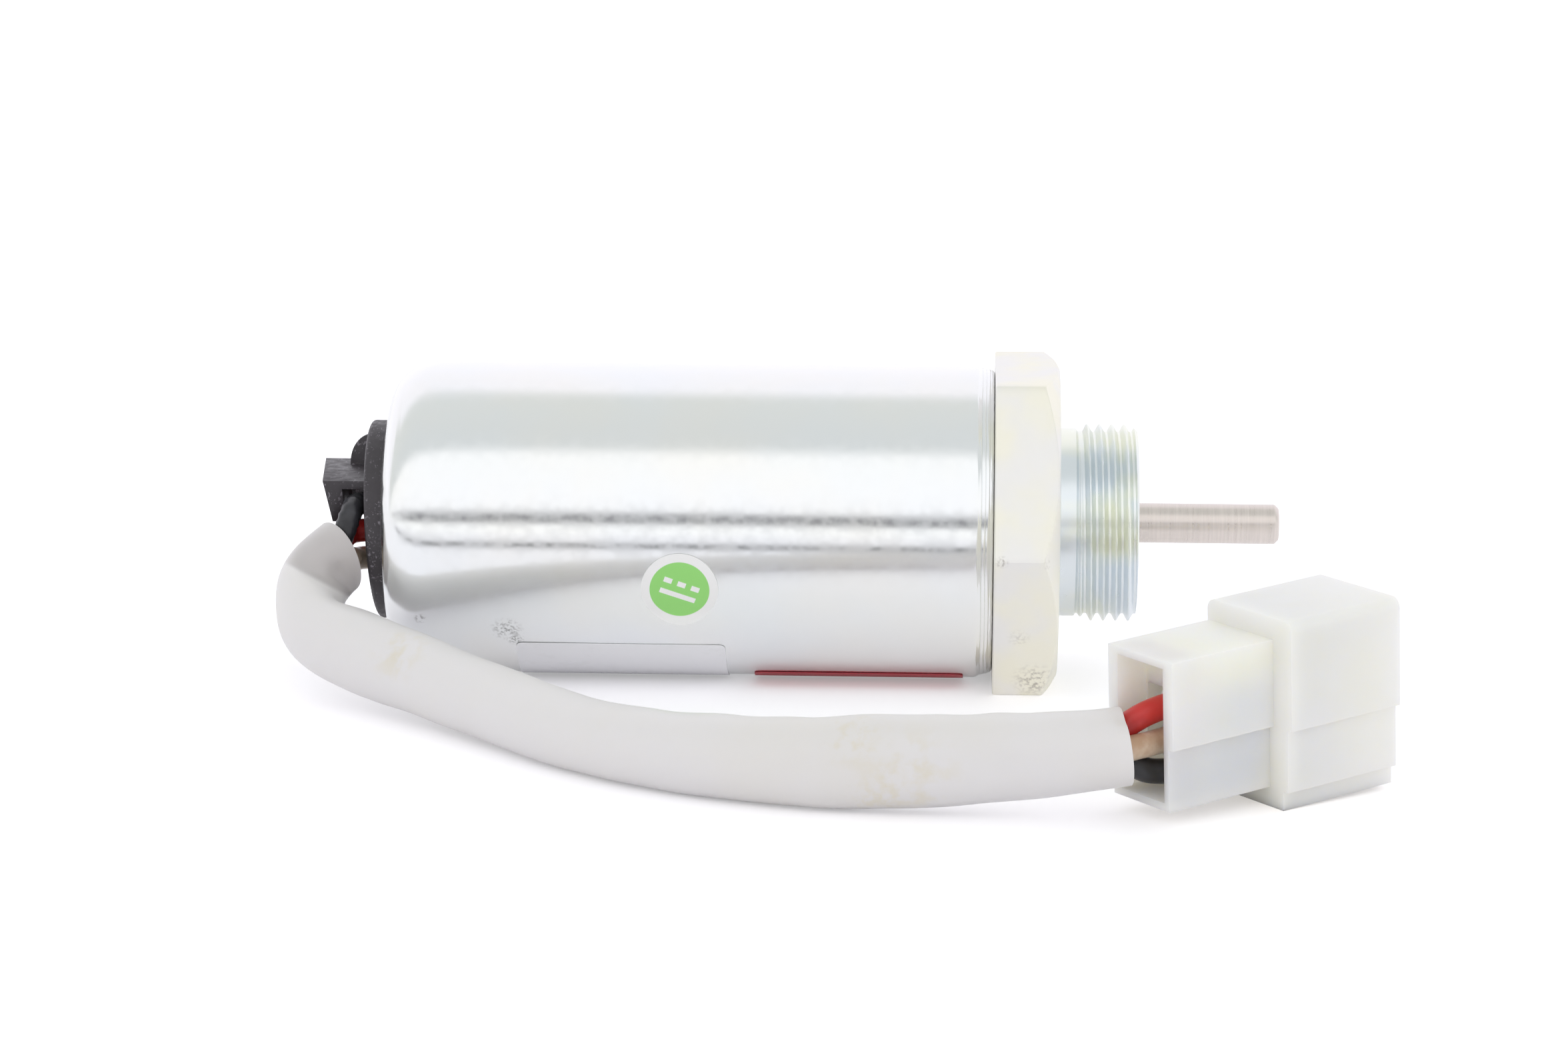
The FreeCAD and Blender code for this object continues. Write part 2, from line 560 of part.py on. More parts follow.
def make_connector_housing():
    """Nylon housing: block with three chambers behind, shroud round the blades in front."""
    body = new_connector_body("connector_housing")
    block = sketch_on(body, "block", "YZ_Plane", "-block_length")
    stepped_section(block, "side_step", "side_step + block_width", "foot_drop",
                    "foot_drop + block_height", False)
    pad(body, block, "block_length")
    shroud = sketch_on(body, "shroud", "YZ_Plane")
    stepped_section(shroud, "0", "shroud_width", "0", "shroud_height", True)
    pad(body, shroud, "shroud_length")
    top = size("shroud_height")
    round_edges(body, lambda edge: is_top_corner(edge, top), "corner_round")
    mouth = sketch_on(body, "mouth", "YZ_Plane", "shroud_floor")
    stepped_section(mouth, "shroud_wall", "shroud_width - shroud_wall", "foot_height",
                    "shroud_height - shroud_wall", False)
    pocket(body, mouth, "shroud_length - shroud_floor", True)
    recess = sketch_on(body, "recess", "YZ_Plane", "-block_length")
    add_outline(recess, rectangle("side_step + half_step + recess_wall",
                                  "side_step + block_width - half_step - recess_wall",
                                  "foot_drop + recess_wall",
                                  "foot_drop + block_height - recess_wall"))
    pocket(body, recess, "recess_depth", True)
    chambers = sketch_on(body, "chambers", "YZ_Plane", "barrel_rear")
    slots = sketch_on(body, "slots", "YZ_Plane", "-slot_length")
    for index in range(len(LEADS)):
        middle = chamber_height(index)
        add_outline(chambers, rectangle(
            "column_place - chamber_wide / 2", "column_place + chamber_wide / 2",
            middle + " - chamber_tall / 2", middle + " + chamber_tall / 2"))
        add_outline(slots, rectangle(
            "column_place - blade_width / 2 - slot_clear",
            "column_place + blade_width / 2 + slot_clear",
            middle + " - blade_thick / 2 - slot_clear",
            middle + " + blade_thick / 2 + slot_clear"))
    pocket(body, chambers, "block_length - recess_depth - slot_length", True)
    pocket(body, slots, "slot_length + shroud_floor", True)


def is_top_corner(edge, top):
    """Whether an edge is an upper long edge of the shroud."""
    box = edge.BoundBox
    long_enough = box.XMax - box.XMin > size("shroud_length") - SHORT_EDGE
    return long_enough and box.ZMin > top - NEAR and box.XMin > -NEAR


def chamber_height(index):
    """The height of a chamber's middle, the chambers being stacked one above the other."""
    return "foot_drop + chamber_mid + %d * chamber_pitch" % (index - 1)


def make_terminal(colour, chamber):
    """Blade with a closed crimp barrel that grips the lead's end."""
    body = new_connector_body("terminal_" + colour)
    middle = chamber_height(chamber)
    blade = sketch_on(body, "blade_" + colour, "YZ_Plane", "barrel_rear + barrel_grip")
    add_outline(blade, rectangle(
        "column_place - blade_width / 2", "column_place + blade_width / 2",
        middle + " - blade_thick / 2", middle + " + blade_thick / 2"))
    pad(body, blade, "shroud_floor + blade_free - barrel_rear - barrel_grip")
    tip = size("shroud_floor + blade_free")
    round_edges(body, lambda edge: edge.BoundBox.XMin > tip - NEAR and edge.Length > SHORT_EDGE,
                "blade_bevel", "PartDesign::Chamfer")
    barrel = sketch_on(body, "barrel_" + colour, "YZ_Plane", "barrel_rear")
    add_circle(barrel, "column_place", middle, "barrel_dia / 2")
    pad(body, barrel, "barrel_length")
    bore = sketch_on(body, "bore_" + colour, "YZ_Plane", "barrel_rear")
    add_circle(bore, "column_place", middle, "barrel_bore / 2")
    pocket(body, bore, "barrel_grip", True)


def rounded_path(points):
    """Straight runs joined by tangent arcs, with the arcs' radii and the path's length."""
    points = [Vector(*point) for point in points]
    edges, radii = [], []
    start = points[0]
    for before, corner, after in zip(points, points[1:], points[2:]):
        back = (before - corner).normalize()
        forth = (after - corner).normalize()
        turn = math.pi - back.getAngle(forth)
        cut = 0.45 * min((before - corner).Length, (after - corner).Length)
        radius = cut / math.tan(turn / 2)
        middle = (back + forth).normalize()
        centre = corner + middle * (radius / math.cos(turn / 2))
        entry, leave = corner + back * cut, corner + forth * cut
        edges.append(Part.LineSegment(start, entry).toShape())
        edges.append(Part.Arc(entry, centre - middle * radius, leave).toShape())
        radii.append(radius)
        start = leave
    edges.append(Part.LineSegment(start, points[-1]).toShape())
    path = Part.Wire(edges)
    return path, radii


def swept(path, points, radius):
    """A round solid of this radius swept along the path."""
    heading = Vector(*points[1]) - Vector(*points[0])
    circle = Part.Wire(Part.makeCircle(radius, Vector(*points[0]), heading))
    return path.makePipeShell([circle], True, True)


def report_tube(label, path, radii, radius, volume):
    """Print a tube's bends and compare its volume with section times length."""
    expected = math.pi * radius ** 2 * path.Length
    print("%s: length %.1f, radii %s, volume %.1f of %.1f" % (
        label, path.Length, " ".join("%.1f" % value for value in radii), volume, expected))
    if abs(volume - expected) > TUBE_LEEWAY * expected:
        raise RuntimeError(label + " has a wrong volume")


def lay_beside(points, first_angle):
    """The route of one lead inside the sleeve: beside its points, slowly turning round them."""
    centres = [Vector(*point) for point in points]
    offset = size("lay_radius")
    route = []
    for index, centre in enumerate(centres):
        before = centres[max(index - 1, 0)]
        after = centres[min(index + 1, len(centres) - 1)]
        ahead = (after - before).normalize()
        side = ahead.cross(Vector(0, 0, 1)).normalize()
        upward = side.cross(ahead)
        angle = math.radians(first_angle - LAY_TWIST * index / (len(centres) - 1))
        route.append(centre + (side * math.cos(angle) + upward * math.sin(angle)) * offset)
    return route


def connector_point(along, across, height):
    """A point of the connector's own frame, in the solenoid's frame."""
    return connector_place().multVec(Vector(along, across, height))


def lead_route(free_points, place, chamber, angle):
    """The whole route of a lead, from its seat in the bushing to its terminal's barrel."""
    seat = size("flange_left - bushing_proud + lead_depth")
    start = Vector(seat, -size("lead_across"),
                   size("axis_height + lead_first - %d * lead_pitch" % place))
    last, before_last = Vector(*SLEEVE_ROUTE[-1]), Vector(*SLEEVE_ROUTE[-2])
    beyond = last + (last - before_last).normalize() * size("sleeve_short")
    inside = lay_beside(SLEEVE_ROUTE[1:-1] + [tuple(beyond)], angle)
    middle = size(chamber_height(chamber))
    across = size("column_place")
    barrel_end = size("barrel_rear + barrel_grip")
    before_barrel = barrel_end - size("barrel_grip + lead_straight")
    ends = [connector_point(before_barrel, across, middle),
            connector_point(barrel_end, across, middle)]
    return [start] + [Vector(*point) for point in free_points] + inside + ends


def make_leads():
    """The three leads, each one plain tube along its route."""
    radius = size("wire_dia / 2")
    for colour, free_points, place, chamber, angle in LEADS:
        points = [tuple(point) for point in lead_route(free_points, place, chamber, angle)]
        path, radii = rounded_path(points)
        lead = doc.addObject("Part::Feature", "wire_" + colour)
        lead.Shape = swept(path, points, radius)
        keep(lead, "wire_" + colour)
        report_tube(lead.Label, path, radii, radius, lead.Shape.Volume)


def make_sleeve():
    """The soft sleeve over the three leads, a plain hollow tube."""
    outer = size("sleeve_dia / 2")
    inner = outer - size("sleeve_wall")
    path, radii = rounded_path(SLEEVE_ROUTE)
    skin = swept(path, SLEEVE_ROUTE, outer)
    report_tube("wire_sleeve", path, radii, outer, skin.Volume)
    sleeve = doc.addObject("Part::Feature", "wire_sleeve")
    sleeve.Shape = skin.cut(swept(path, SLEEVE_ROUTE, inner))
    keep(sleeve, "wire_sleeve")


def along_axis(thing, station):
    """Lay a part primitive's own Z axis along X, from a station on."""
    thing.Placement = Placement(Vector(0, 0, 0), Rotation(Vector(0, 1, 0), 90))
    bind(thing, Placement__Base__x=station, Placement__Base__z="axis_height")
    return thing


def label_shell(name, left, right):
    """The thin skin of paper on the can between two stations, all the way round."""
    outer = along_axis(doc.addObject("Part::Cylinder", name + "_outer"), left)
    bind(outer, Radius="label_radius", Height="(%s) - (%s)" % (right, left))
    inner = along_axis(doc.addObject("Part::Cylinder", name + "_inner"), left)
    bind(inner, Radius="label_inner", Height="(%s) - (%s)" % (right, left))
    shell = doc.addObject("Part::Cut", name + "_skin")
    shell.Base, shell.Tool = outer, inner
    return shell


def make_round_sticker():
    """Round sticker on the near side, a little below the axis."""
    shell = label_shell("round_sticker", "spot_place - spot_dia", "spot_place + spot_dia")
    punch = doc.addObject("Part::Cylinder", "sticker_punch")
    bind(punch, Radius="spot_dia / 2", Height="can_dia")
    tilt = 90 + size("spot_angle")
    punch.Placement = Placement(Vector(0, 0, 0), Rotation(Vector(1, 0, 0), tilt))
    bind(punch, Placement__Base__x="spot_place", Placement__Base__z="axis_height")
    sticker = doc.addObject("Part::Common", "round_sticker_cut")
    sticker.Base, sticker.Tool = shell, punch
    keep(sticker, "round_sticker")


def make_wrapped_label(name, left, right, start, sweep):
    """A label wrapped under the can, from a start angle below the near side."""
    shell = label_shell(name, left, right)
    wedge = doc.addObject("Part::Cylinder", name + "_wedge")
    bind(wedge, Radius="can_dia", Height="(%s) - (%s)" % (right, left), Angle=sweep)
    start_turn = Rotation(Vector(1, 0, 0), size(start) - 180)
    own_zero = Rotation(Vector(0, 0, 1), 90)
    wedge.Placement = Placement(Vector(0, 0, 0), start_turn.multiply(
        Rotation(Vector(0, 1, 0), 90)).multiply(own_zero))
    bind(wedge, Placement__Base__x=left, Placement__Base__z="axis_height")
    label = doc.addObject("Part::Common", name + "_cut")
    label.Base, label.Tool = shell, wedge
    keep(label, name)


def make_stickers():
    """The round sticker and the two labels that wrap under the can."""
    make_round_sticker()
    make_wrapped_label("rating_label", "plate_left", "plate_right", "plate_start",
                       "plate_sweep")
    make_wrapped_label("red_label", "band_left", "band_right", "band_start", "band_sweep")


def write_parts():
    """Check every object of the document, then write each piece to its own file."""
    doc.recompute()
    for thing in doc.Objects:
        if "Invalid" in thing.State or "Error" in thing.State:
            raise RuntimeError("%s failed: %s" % (thing.Name, thing.State))
    for thing in parts:
        if thing.Shape.isNull() or not thing.Shape.isValid() or thing.Shape.Volume <= 0:
            raise RuntimeError(thing.Label + " has no valid shape")
    os.makedirs("parts", exist_ok=True)
    for thing in parts:
        thing.Shape.exportStep("parts/%s.step" % thing.Label)
        print("%-18s %9.1f mm3" % (thing.Label, thing.Shape.Volume))


make_can()
make_hex_body()
make_front_pieces()
make_rear_pole()
make_winding()
make_plunger()
make_return_spring()
make_end_cap()
make_lead_bushing()
make_connector_housing()
for lead_colour, lead_points, lead_place, lead_chamber, lead_angle in LEADS:
    make_terminal(lead_colour, lead_chamber)
make_leads()
make_sleeve()
make_stickers()
write_parts()
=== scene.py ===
# %% [markdown]
# # A fuel shutoff solenoid around its CAD frame
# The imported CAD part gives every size. This lesson loads it, puts finer pieces in place of
# the ones that show, lays the sleeved leads along their routes, and lights the whole like a
# product photo on a white table. All lengths in the text are millimetres.

# %%
import math

import bmesh
import bpy
from mathutils import Matrix, Vector, noise


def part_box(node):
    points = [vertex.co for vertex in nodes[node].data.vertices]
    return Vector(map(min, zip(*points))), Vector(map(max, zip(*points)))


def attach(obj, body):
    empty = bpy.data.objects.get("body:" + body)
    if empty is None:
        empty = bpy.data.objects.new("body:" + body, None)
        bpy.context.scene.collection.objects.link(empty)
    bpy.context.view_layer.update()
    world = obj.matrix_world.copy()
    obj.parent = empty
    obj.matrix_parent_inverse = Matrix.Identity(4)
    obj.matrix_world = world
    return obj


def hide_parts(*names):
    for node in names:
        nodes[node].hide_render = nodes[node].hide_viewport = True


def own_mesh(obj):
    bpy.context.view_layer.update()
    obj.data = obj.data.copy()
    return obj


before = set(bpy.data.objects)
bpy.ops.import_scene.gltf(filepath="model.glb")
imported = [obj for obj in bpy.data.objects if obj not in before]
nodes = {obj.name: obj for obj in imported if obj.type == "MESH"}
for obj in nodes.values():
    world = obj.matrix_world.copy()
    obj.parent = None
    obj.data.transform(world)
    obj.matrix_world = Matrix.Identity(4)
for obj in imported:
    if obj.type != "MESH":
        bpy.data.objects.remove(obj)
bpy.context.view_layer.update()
MM = 0.001

# %% [markdown]
# ## Sizes that repeat the CAD part
# The axis lies along X at this height, with the push pin towards +X.

# %%
AXIS_Z = 19.0
CAN_REAR, CAN_R, CAN_WALL = -50.3, 19.0, 1.5
HEX_LEFT, HEX_RIGHT, HEX_FLATS = 23.1, 30.9, 38.0
NECK_END, BOSS_END = 33.2, 40.4
NECK_R, PITCH = 11.4, 1.5
PIN_TIP, PIN_R = 57.6, 2.4
FLANGE_LEFT = -52.15
HOOD_NEAR, HOOD_WIDTH, HOOD_TOP = -6.5, 13.0, AXIS_Z + 5.5
# The leads leave the bushing in a row, the first one this far over the axis.
BUSHING_PROUD, LEAD_DEPTH, LEAD_PITCH, LEAD_Y, LEAD_RISE = 0.3, 2.0, 3.4, -5.0, 2.6
BLOCK_LENGTH, RECESS_DEPTH, BARREL_GRIP, LEAD_STRAIGHT = 14.3, 4.0, 3.0, 2.3
COLUMN_PLACE, CHAMBER_MID, CHAMBER_PITCH = 8.5, 8.9, 3.85
CONNECTOR_AT = (55.95, -59.4, 0.0)
CONNECTOR_TURN, CONNECTOR_LIFT = 37.0, 2.6

# The routes of the sleeve and of the leads. A lead has its name, its free points, its place in
# the bushing's row, its chamber in the connector, and its first angle in the sleeve.
SLEEVE_ROUTE = [
    (-55.2, -9.1, 16.1), (-58.5, -10.4, 13.7), (-59.1, -14.8, 10.4), (-56.4, -18.9, 8.3),
    (-51.2, -21.9, 7.1), (-44.7, -26.0, 5.8), (-34.7, -35.5, 4.8), (-22.2, -48.0, 4.5),
    (-8.2, -56.3, 4.5), (6.0, -60.3, 4.6), (16.4, -60.9, 5.1), (24.0, -61.0, 6.1),
    (31.1, -62.9, 7.4), (36.6, -61.9, 8.1),
]
LEADS = [
    ("black", [(-53.8, -5.0, 21.6), (-53.9, -9.9, 21.9), (-55.1, -10.1, 18.0)], 0, 0, 66.0),
    ("white", [(-53.8, -5.0, 14.8), (-54.2, -9.5, 15.1)], 2, 1, 188.0),
    ("red", [(-53.8, -5.0, 18.2), (-55.4, -6.6, 17.8)], 1, 2, 316.0),
]
LAY_TWIST, LAY_RADIUS, SLEEVE_SHORT = 188.0, 2.05, 0.8


# %% [markdown]
# ## Helpers
# `finish_mesh` turns a bmesh into an object with crisp edges where faces meet at an angle.
# `share_of` tells how far a value has come along a span, which may also run backwards.

# %%
def share_of(value, start, span):
    return min(1.0, max(0.0, (value - start) / span))


def finish_mesh(name, bm, material, body="housing", sharp=32.0):
    bmesh.ops.recalc_face_normals(bm, faces=bm.faces)
    for face in bm.faces:
        face.smooth = True
    limit = math.radians(sharp)
    for edge in bm.edges:
        edge.smooth = len(edge.link_faces) == 2 and edge.calc_face_angle() < limit
    mesh = bpy.data.meshes.new(name)
    bm.to_mesh(mesh)
    bm.free()
    mesh.materials.append(material)
    piece = bpy.data.objects.new(name, mesh)
    bpy.context.scene.collection.objects.link(piece)
    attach(piece, body)
    return piece


def lathe(profile, steps=192, closed=True):
    """A mesh turned round the solenoid's axis from (x, radius) corners."""
    bm = bmesh.new()
    corners = [bm.verts.new((x * MM, 0.0, r * MM)) for x, r in profile]
    lines = [bm.edges.new((a, b)) for a, b in zip(corners, corners[1:])]
    if closed:
        lines.append(bm.edges.new((corners[-1], corners[0])))
    bmesh.ops.spin(bm, geom=corners + lines, cent=(0, 0, 0), axis=(1, 0, 0),
                   angle=2 * math.pi, steps=steps, use_merge=True)
    bmesh.ops.remove_doubles(bm, verts=bm.verts, dist=1e-7)
    bmesh.ops.translate(bm, verts=bm.verts, vec=(0, 0, AXIS_Z * MM))
    return bm


def rounded_copy(node, offset, segments, angle=25.0):
    """A finer stand-in for a CAD piece: the same shape with its edges rounded."""
    bm = bmesh.new()
    bm.from_mesh(nodes[node].data)
    bmesh.ops.remove_doubles(bm, verts=bm.verts, dist=1e-6)
    bmesh.ops.dissolve_limit(bm, angle_limit=math.radians(1.0), verts=bm.verts, edges=bm.edges)
    edges = [e for e in bm.edges
             if len(e.link_faces) == 2 and e.calc_face_angle() > math.radians(angle)]
    bmesh.ops.bevel(bm, geom=edges, offset=offset * MM, offset_type="OFFSET",
                    segments=segments, profile=0.5, affect="EDGES", clamp_overlap=True,
                    material=-1)
    return bm


# %% [markdown]
# ## Node helpers
# `feed` links a socket or sets its constant. The other helpers each add one node.

# %%
def feed(tree, socket, value):
    if isinstance(value, bpy.types.NodeSocket):
        tree.links.new(value, socket)
    else:
        socket.default_value = value


def calc(tree, operation, *values):
    made = tree.nodes.new("ShaderNodeMath")
    made.operation = operation
    for socket, value in zip(made.inputs, values):
        feed(tree, socket, value)
    return made.outputs[0]


def vector_calc(tree, operation, first, second, output="Vector"):
    made = tree.nodes.new("ShaderNodeVectorMath")
    made.operation = operation
    feed(tree, made.inputs[0], first)
    feed(tree, made.inputs[1], second)
    return made.outputs[output]


def parts_of(tree, vector):
    made = tree.nodes.new("ShaderNodeSeparateXYZ")
    tree.links.new(vector, made.inputs[0])
    return made.outputs


def noise_at(tree, place, scale, detail=3.0):
    made = tree.nodes.new("ShaderNodeTexNoise")
    feed(tree, made.inputs["Vector"], place)
    feed(tree, made.inputs["Scale"], scale)
    made.inputs["Detail"].default_value = detail
    return made.outputs["Fac"]


def grain(tree, place, factors, detail=3.0):
    """Noise with its own number of grains per metre along each axis."""
    return noise_at(tree, vector_calc(tree, "MULTIPLY", place, factors), 1.0, detail)


def eased(tree, value, low, high, out_low=0.0, out_high=1.0):
    """A value eased from one range into another."""
    made = tree.nodes.new("ShaderNodeMapRange")
    made.interpolation_type = "SMOOTHSTEP"
    feed(tree, made.inputs["Value"], value)
    for name, number in (("From Min", low), ("From Max", high), ("To Min", out_low),
                         ("To Max", out_high)):
        feed(tree, made.inputs[name], number)
    return made.outputs["Result"]


def mixed(tree, share, first, second):
    """The first colour, going over to the second one by a share."""
    made = tree.nodes.new("ShaderNodeMix")
    made.data_type = "RGBA"
    feed(tree, made.inputs[0], share)
    for socket, value in ((made.inputs[6], first), (made.inputs[7], second)):
        feed(tree, socket, value if isinstance(value, bpy.types.NodeSocket) else (*value, 1.0))
    return made.outputs[2]


def bumped(tree, height, depth_mm, strength=1.0):
    made = tree.nodes.new("ShaderNodeBump")
    made.inputs["Strength"].default_value = strength
    made.inputs["Distance"].default_value = depth_mm * MM
    feed(tree, made.inputs["Height"], height)
    return made.outputs["Normal"]


# %% [markdown]
# ## Shared effects
# A smudge is a soft blot broken up by grit. Flecks are small pale marks of dust and wear.

# %%
def new_effect(name, inputs, output):
    tree = bpy.data.node_groups.new(name, "ShaderNodeTree")
    for label, kind in inputs:
        tree.interface.new_socket(label, in_out="INPUT", socket_type="NodeSocket" + kind)
    tree.interface.new_socket(output, in_out="OUTPUT", socket_type="NodeSocketFloat")
    return tree, tree.nodes.new("NodeGroupInput").outputs, tree.nodes.new("NodeGroupOutput")


def make_smudge_effect():
    tree, given, out = new_effect("smudge", (("Place", "Vector"), ("Centre", "Vector"),
                                             ("Reach", "Float"), ("Grit", "Float")), "Mask")
    gap = vector_calc(tree, "DISTANCE", given["Place"], given["Centre"], "Value")
    near = eased(tree, calc(tree, "DIVIDE", gap, given["Reach"]), 0.1, 1.0, 1.0, 0.0)
    grit = eased(tree, noise_at(tree, given["Place"], given["Grit"], 5.0), 0.42, 0.66)
    tree.links.new(calc(tree, "MULTIPLY", near, grit), out.inputs["Mask"])
    return tree


def make_fleck_effect():
    tree, given, out = new_effect("flecks", (("Place", "Vector"), ("Scale", "Float"),
                                             ("Start", "Float")), "Mask")
    spots = noise_at(tree, given["Place"], given["Scale"], 4.0)
    broad = noise_at(tree, given["Place"], calc(tree, "MULTIPLY", given["Scale"], 0.12), 2.0)
    high = calc(tree, "ADD", given["Start"], 0.06)
    marks = eased(tree, spots, given["Start"], high)
    tree.links.new(calc(tree, "MULTIPLY", marks, eased(tree, broad, 0.35, 0.65)),
                   out.inputs["Mask"])
    return tree


SMUDGE = make_smudge_effect()
FLECKS = make_fleck_effect()


def effect(tree, group, place, **constants):
    """One use of a shared effect, its constants given on its sockets."""
    made = tree.nodes.new("ShaderNodeGroup")
    made.node_tree = group
    tree.links.new(place, made.inputs["Place"])
    for name, value in constants.items():
        made.inputs[name].default_value = value
    return made.outputs["Mask"]


# %% [markdown]
# ## Materials
# Every pattern is placed by the part's own coordinates in metres, or by a sheet's own map.

# %%
def new_material(name, color, rough, metallic=0.0, coat=0.0):
    material = bpy.data.materials.new(name)
    material.use_nodes = True
    shader = material.node_tree.nodes["Principled BSDF"]
    shader.inputs["Base Color"].default_value = (*color, 1.0)
    shader.inputs["Roughness"].default_value = rough
    shader.inputs["Metallic"].default_value = metallic
    shader.inputs["Coat Weight"].default_value = coat
    return material


def worked(material, source="Object"):
    """A material's node tree, its shader's sockets, and its coordinates."""
    tree = material.node_tree
    place = tree.nodes.new("ShaderNodeTexCoord").outputs[source]
    return tree, tree.nodes["Principled BSDF"].inputs, place


def smudged(tree, color, place, spots, dirt_and_shade, strength=0.75):
    """A colour with blots of dirt at each (centre in mm, reach in mm, grit) of a list; on the
    sleeve some blots also stand in for shade.
    """
    for centre, reach, grit in spots:
        mask = effect(tree, SMUDGE, place, Centre=[v * MM for v in centre],
                      Reach=reach * MM, Grit=grit)
        color = mixed(tree, calc(tree, "MULTIPLY", mask, strength), color, dirt_and_shade)
    return color


def make_can_zinc():
    material = new_material("zinc_can", (0.83, 0.84, 0.86), 0.24, 1.0)
    tree, shader, place = worked(material)
    cloud = eased(tree, grain(tree, place, (60, 60, 60)), 0.35, 0.7)
    color = mixed(tree, cloud, (0.88, 0.90, 0.91), (0.90, 0.90, 0.88))
    color = smudged(tree, color, place, (
        ((-34.8, -15.9, 8.7), 2.4, 2600), ((-33.9, -14.9, 7.2), 1.4, 3000),
        ((-45.2, -16.7, 9.9), 1.1, 2600)),
        (0.20, 0.19, 0.19))
    feed(tree, shader["Base Color"], color)
    drawn = grain(tree, place, (5200, 900, 900), 1.0)
    fine = grain(tree, place, (700, 700, 700), 4.0)
    feed(tree, shader["Roughness"], eased(tree, fine, 0.3, 0.7, 0.13, 0.21))
    both = calc(tree, "ADD", calc(tree, "MULTIPLY", drawn, 0.8),
                calc(tree, "MULTIPLY", fine, 0.02))
    feed(tree, shader["Normal"], bumped(tree, both, 0.006, 0.5))
    return material


def make_turned_zinc():
    material = new_material("zinc_turned", (0.78, 0.78, 0.77), 0.34, 1.0)
    tree, shader, place = worked(material)
    cloud = eased(tree, grain(tree, place, (90, 90, 90)), 0.4, 0.62)
    warm = mixed(tree, cloud, (0.90, 0.89, 0.87), (0.93, 0.91, 0.80))
    cool = mixed(tree, cloud, (0.80, 0.85, 0.88), (0.88, 0.90, 0.80))
    boss = eased(tree, parts_of(tree, place)["X"], (HEX_RIGHT - 0.2) * MM,
                 (HEX_RIGHT + 0.2) * MM)
    color = mixed(tree, boss, warm, cool)
    color = smudged(tree, color, place, (
        ((26.2, -17.0, 7.7), 2.2, 2400), ((28.2, -13.0, 1.9), 3.4, 2000),
        ((30.0, -21.6, 18.7), 1.2, 2500), ((30.3, -11.2, 37.8), 0.8, 2500),
        ((24.0, -21.7, 19.0), 1.0, 2500)), (0.36, 0.33, 0.30))
    feed(tree, shader["Base Color"], color)
    fine = grain(tree, place, (800, 800, 800), 4.0)
    dull = mixed(tree, boss, (0.46, 0.46, 0.46), (0.25, 0.25, 0.25))
    feed(tree, shader["Roughness"], calc(tree, "ADD", dull, calc(tree, "MULTIPLY", fine, 0.08)))
    rings = grain(tree, place, (5200, 60, 60), 2.0)
    both = calc(tree, "ADD", calc(tree, "MULTIPLY", rings, boss),
                calc(tree, "MULTIPLY", fine, 0.5))
    feed(tree, shader["Normal"], bumped(tree, both, 0.012, 0.6))
    return material


def make_pin_steel():
    material = new_material("pin_steel", (0.55, 0.50, 0.47), 0.36, 1.0)
    tree, shader, place = worked(material)
    rings = grain(tree, place, (3600, 160, 160), 3.0)
    feed(tree, shader["Base Color"], mixed(tree, rings, (0.60, 0.55, 0.51), (0.86, 0.79, 0.74)))
    feed(tree, shader["Roughness"], eased(tree, rings, 0.3, 0.7, 0.26, 0.38))
    feed(tree, shader["Normal"], bumped(tree, rings, 0.012, 0.7))
    return material


def make_cap_black():
    material = new_material("cap_black", (0.050, 0.044, 0.050), 0.45)
    tree, shader, place = worked(material)
    worn = effect(tree, FLECKS, place, Scale=1500.0, Start=0.60)
    drawn_out = vector_calc(tree, "MULTIPLY", place, (1.0, 0.25, 1.0))
    dust = effect(tree, FLECKS, drawn_out, Scale=3800.0, Start=0.62)
    marks = calc(tree, "MINIMUM", calc(tree, "ADD", worn, dust), 1.0)
    feed(tree, shader["Base Color"], mixed(tree, calc(tree, "MULTIPLY", marks, 0.7),
                                           (0.048, 0.042, 0.048), (0.26, 0.24, 0.27)))
    fine = grain(tree, place, (900, 900, 900), 4.0)
    feed(tree, shader["Roughness"], eased(tree, fine, 0.3, 0.7, 0.36, 0.55))
    feed(tree, shader["Normal"], bumped(tree, fine, 0.05, 0.5))
    return material


def make_connector_cream():
    """Waxy nylon, through which light spreads a long way."""
    material = new_material("connector_cream", (0.92, 0.88, 0.78), 0.42)
    tree, shader, place = worked(material)
    cloud = eased(tree, grain(tree, place, (70, 70, 70)), 0.35, 0.7)
    feed(tree, shader["Base Color"], mixed(tree, cloud, (0.97, 0.94, 0.86), (0.97, 0.92, 0.78)))
    shader["Subsurface Weight"].default_value = 0.9
    shader["Subsurface Radius"].default_value = (1.0, 0.9, 0.7)
    shader["Subsurface Scale"].default_value = 5.0 * MM
    return material


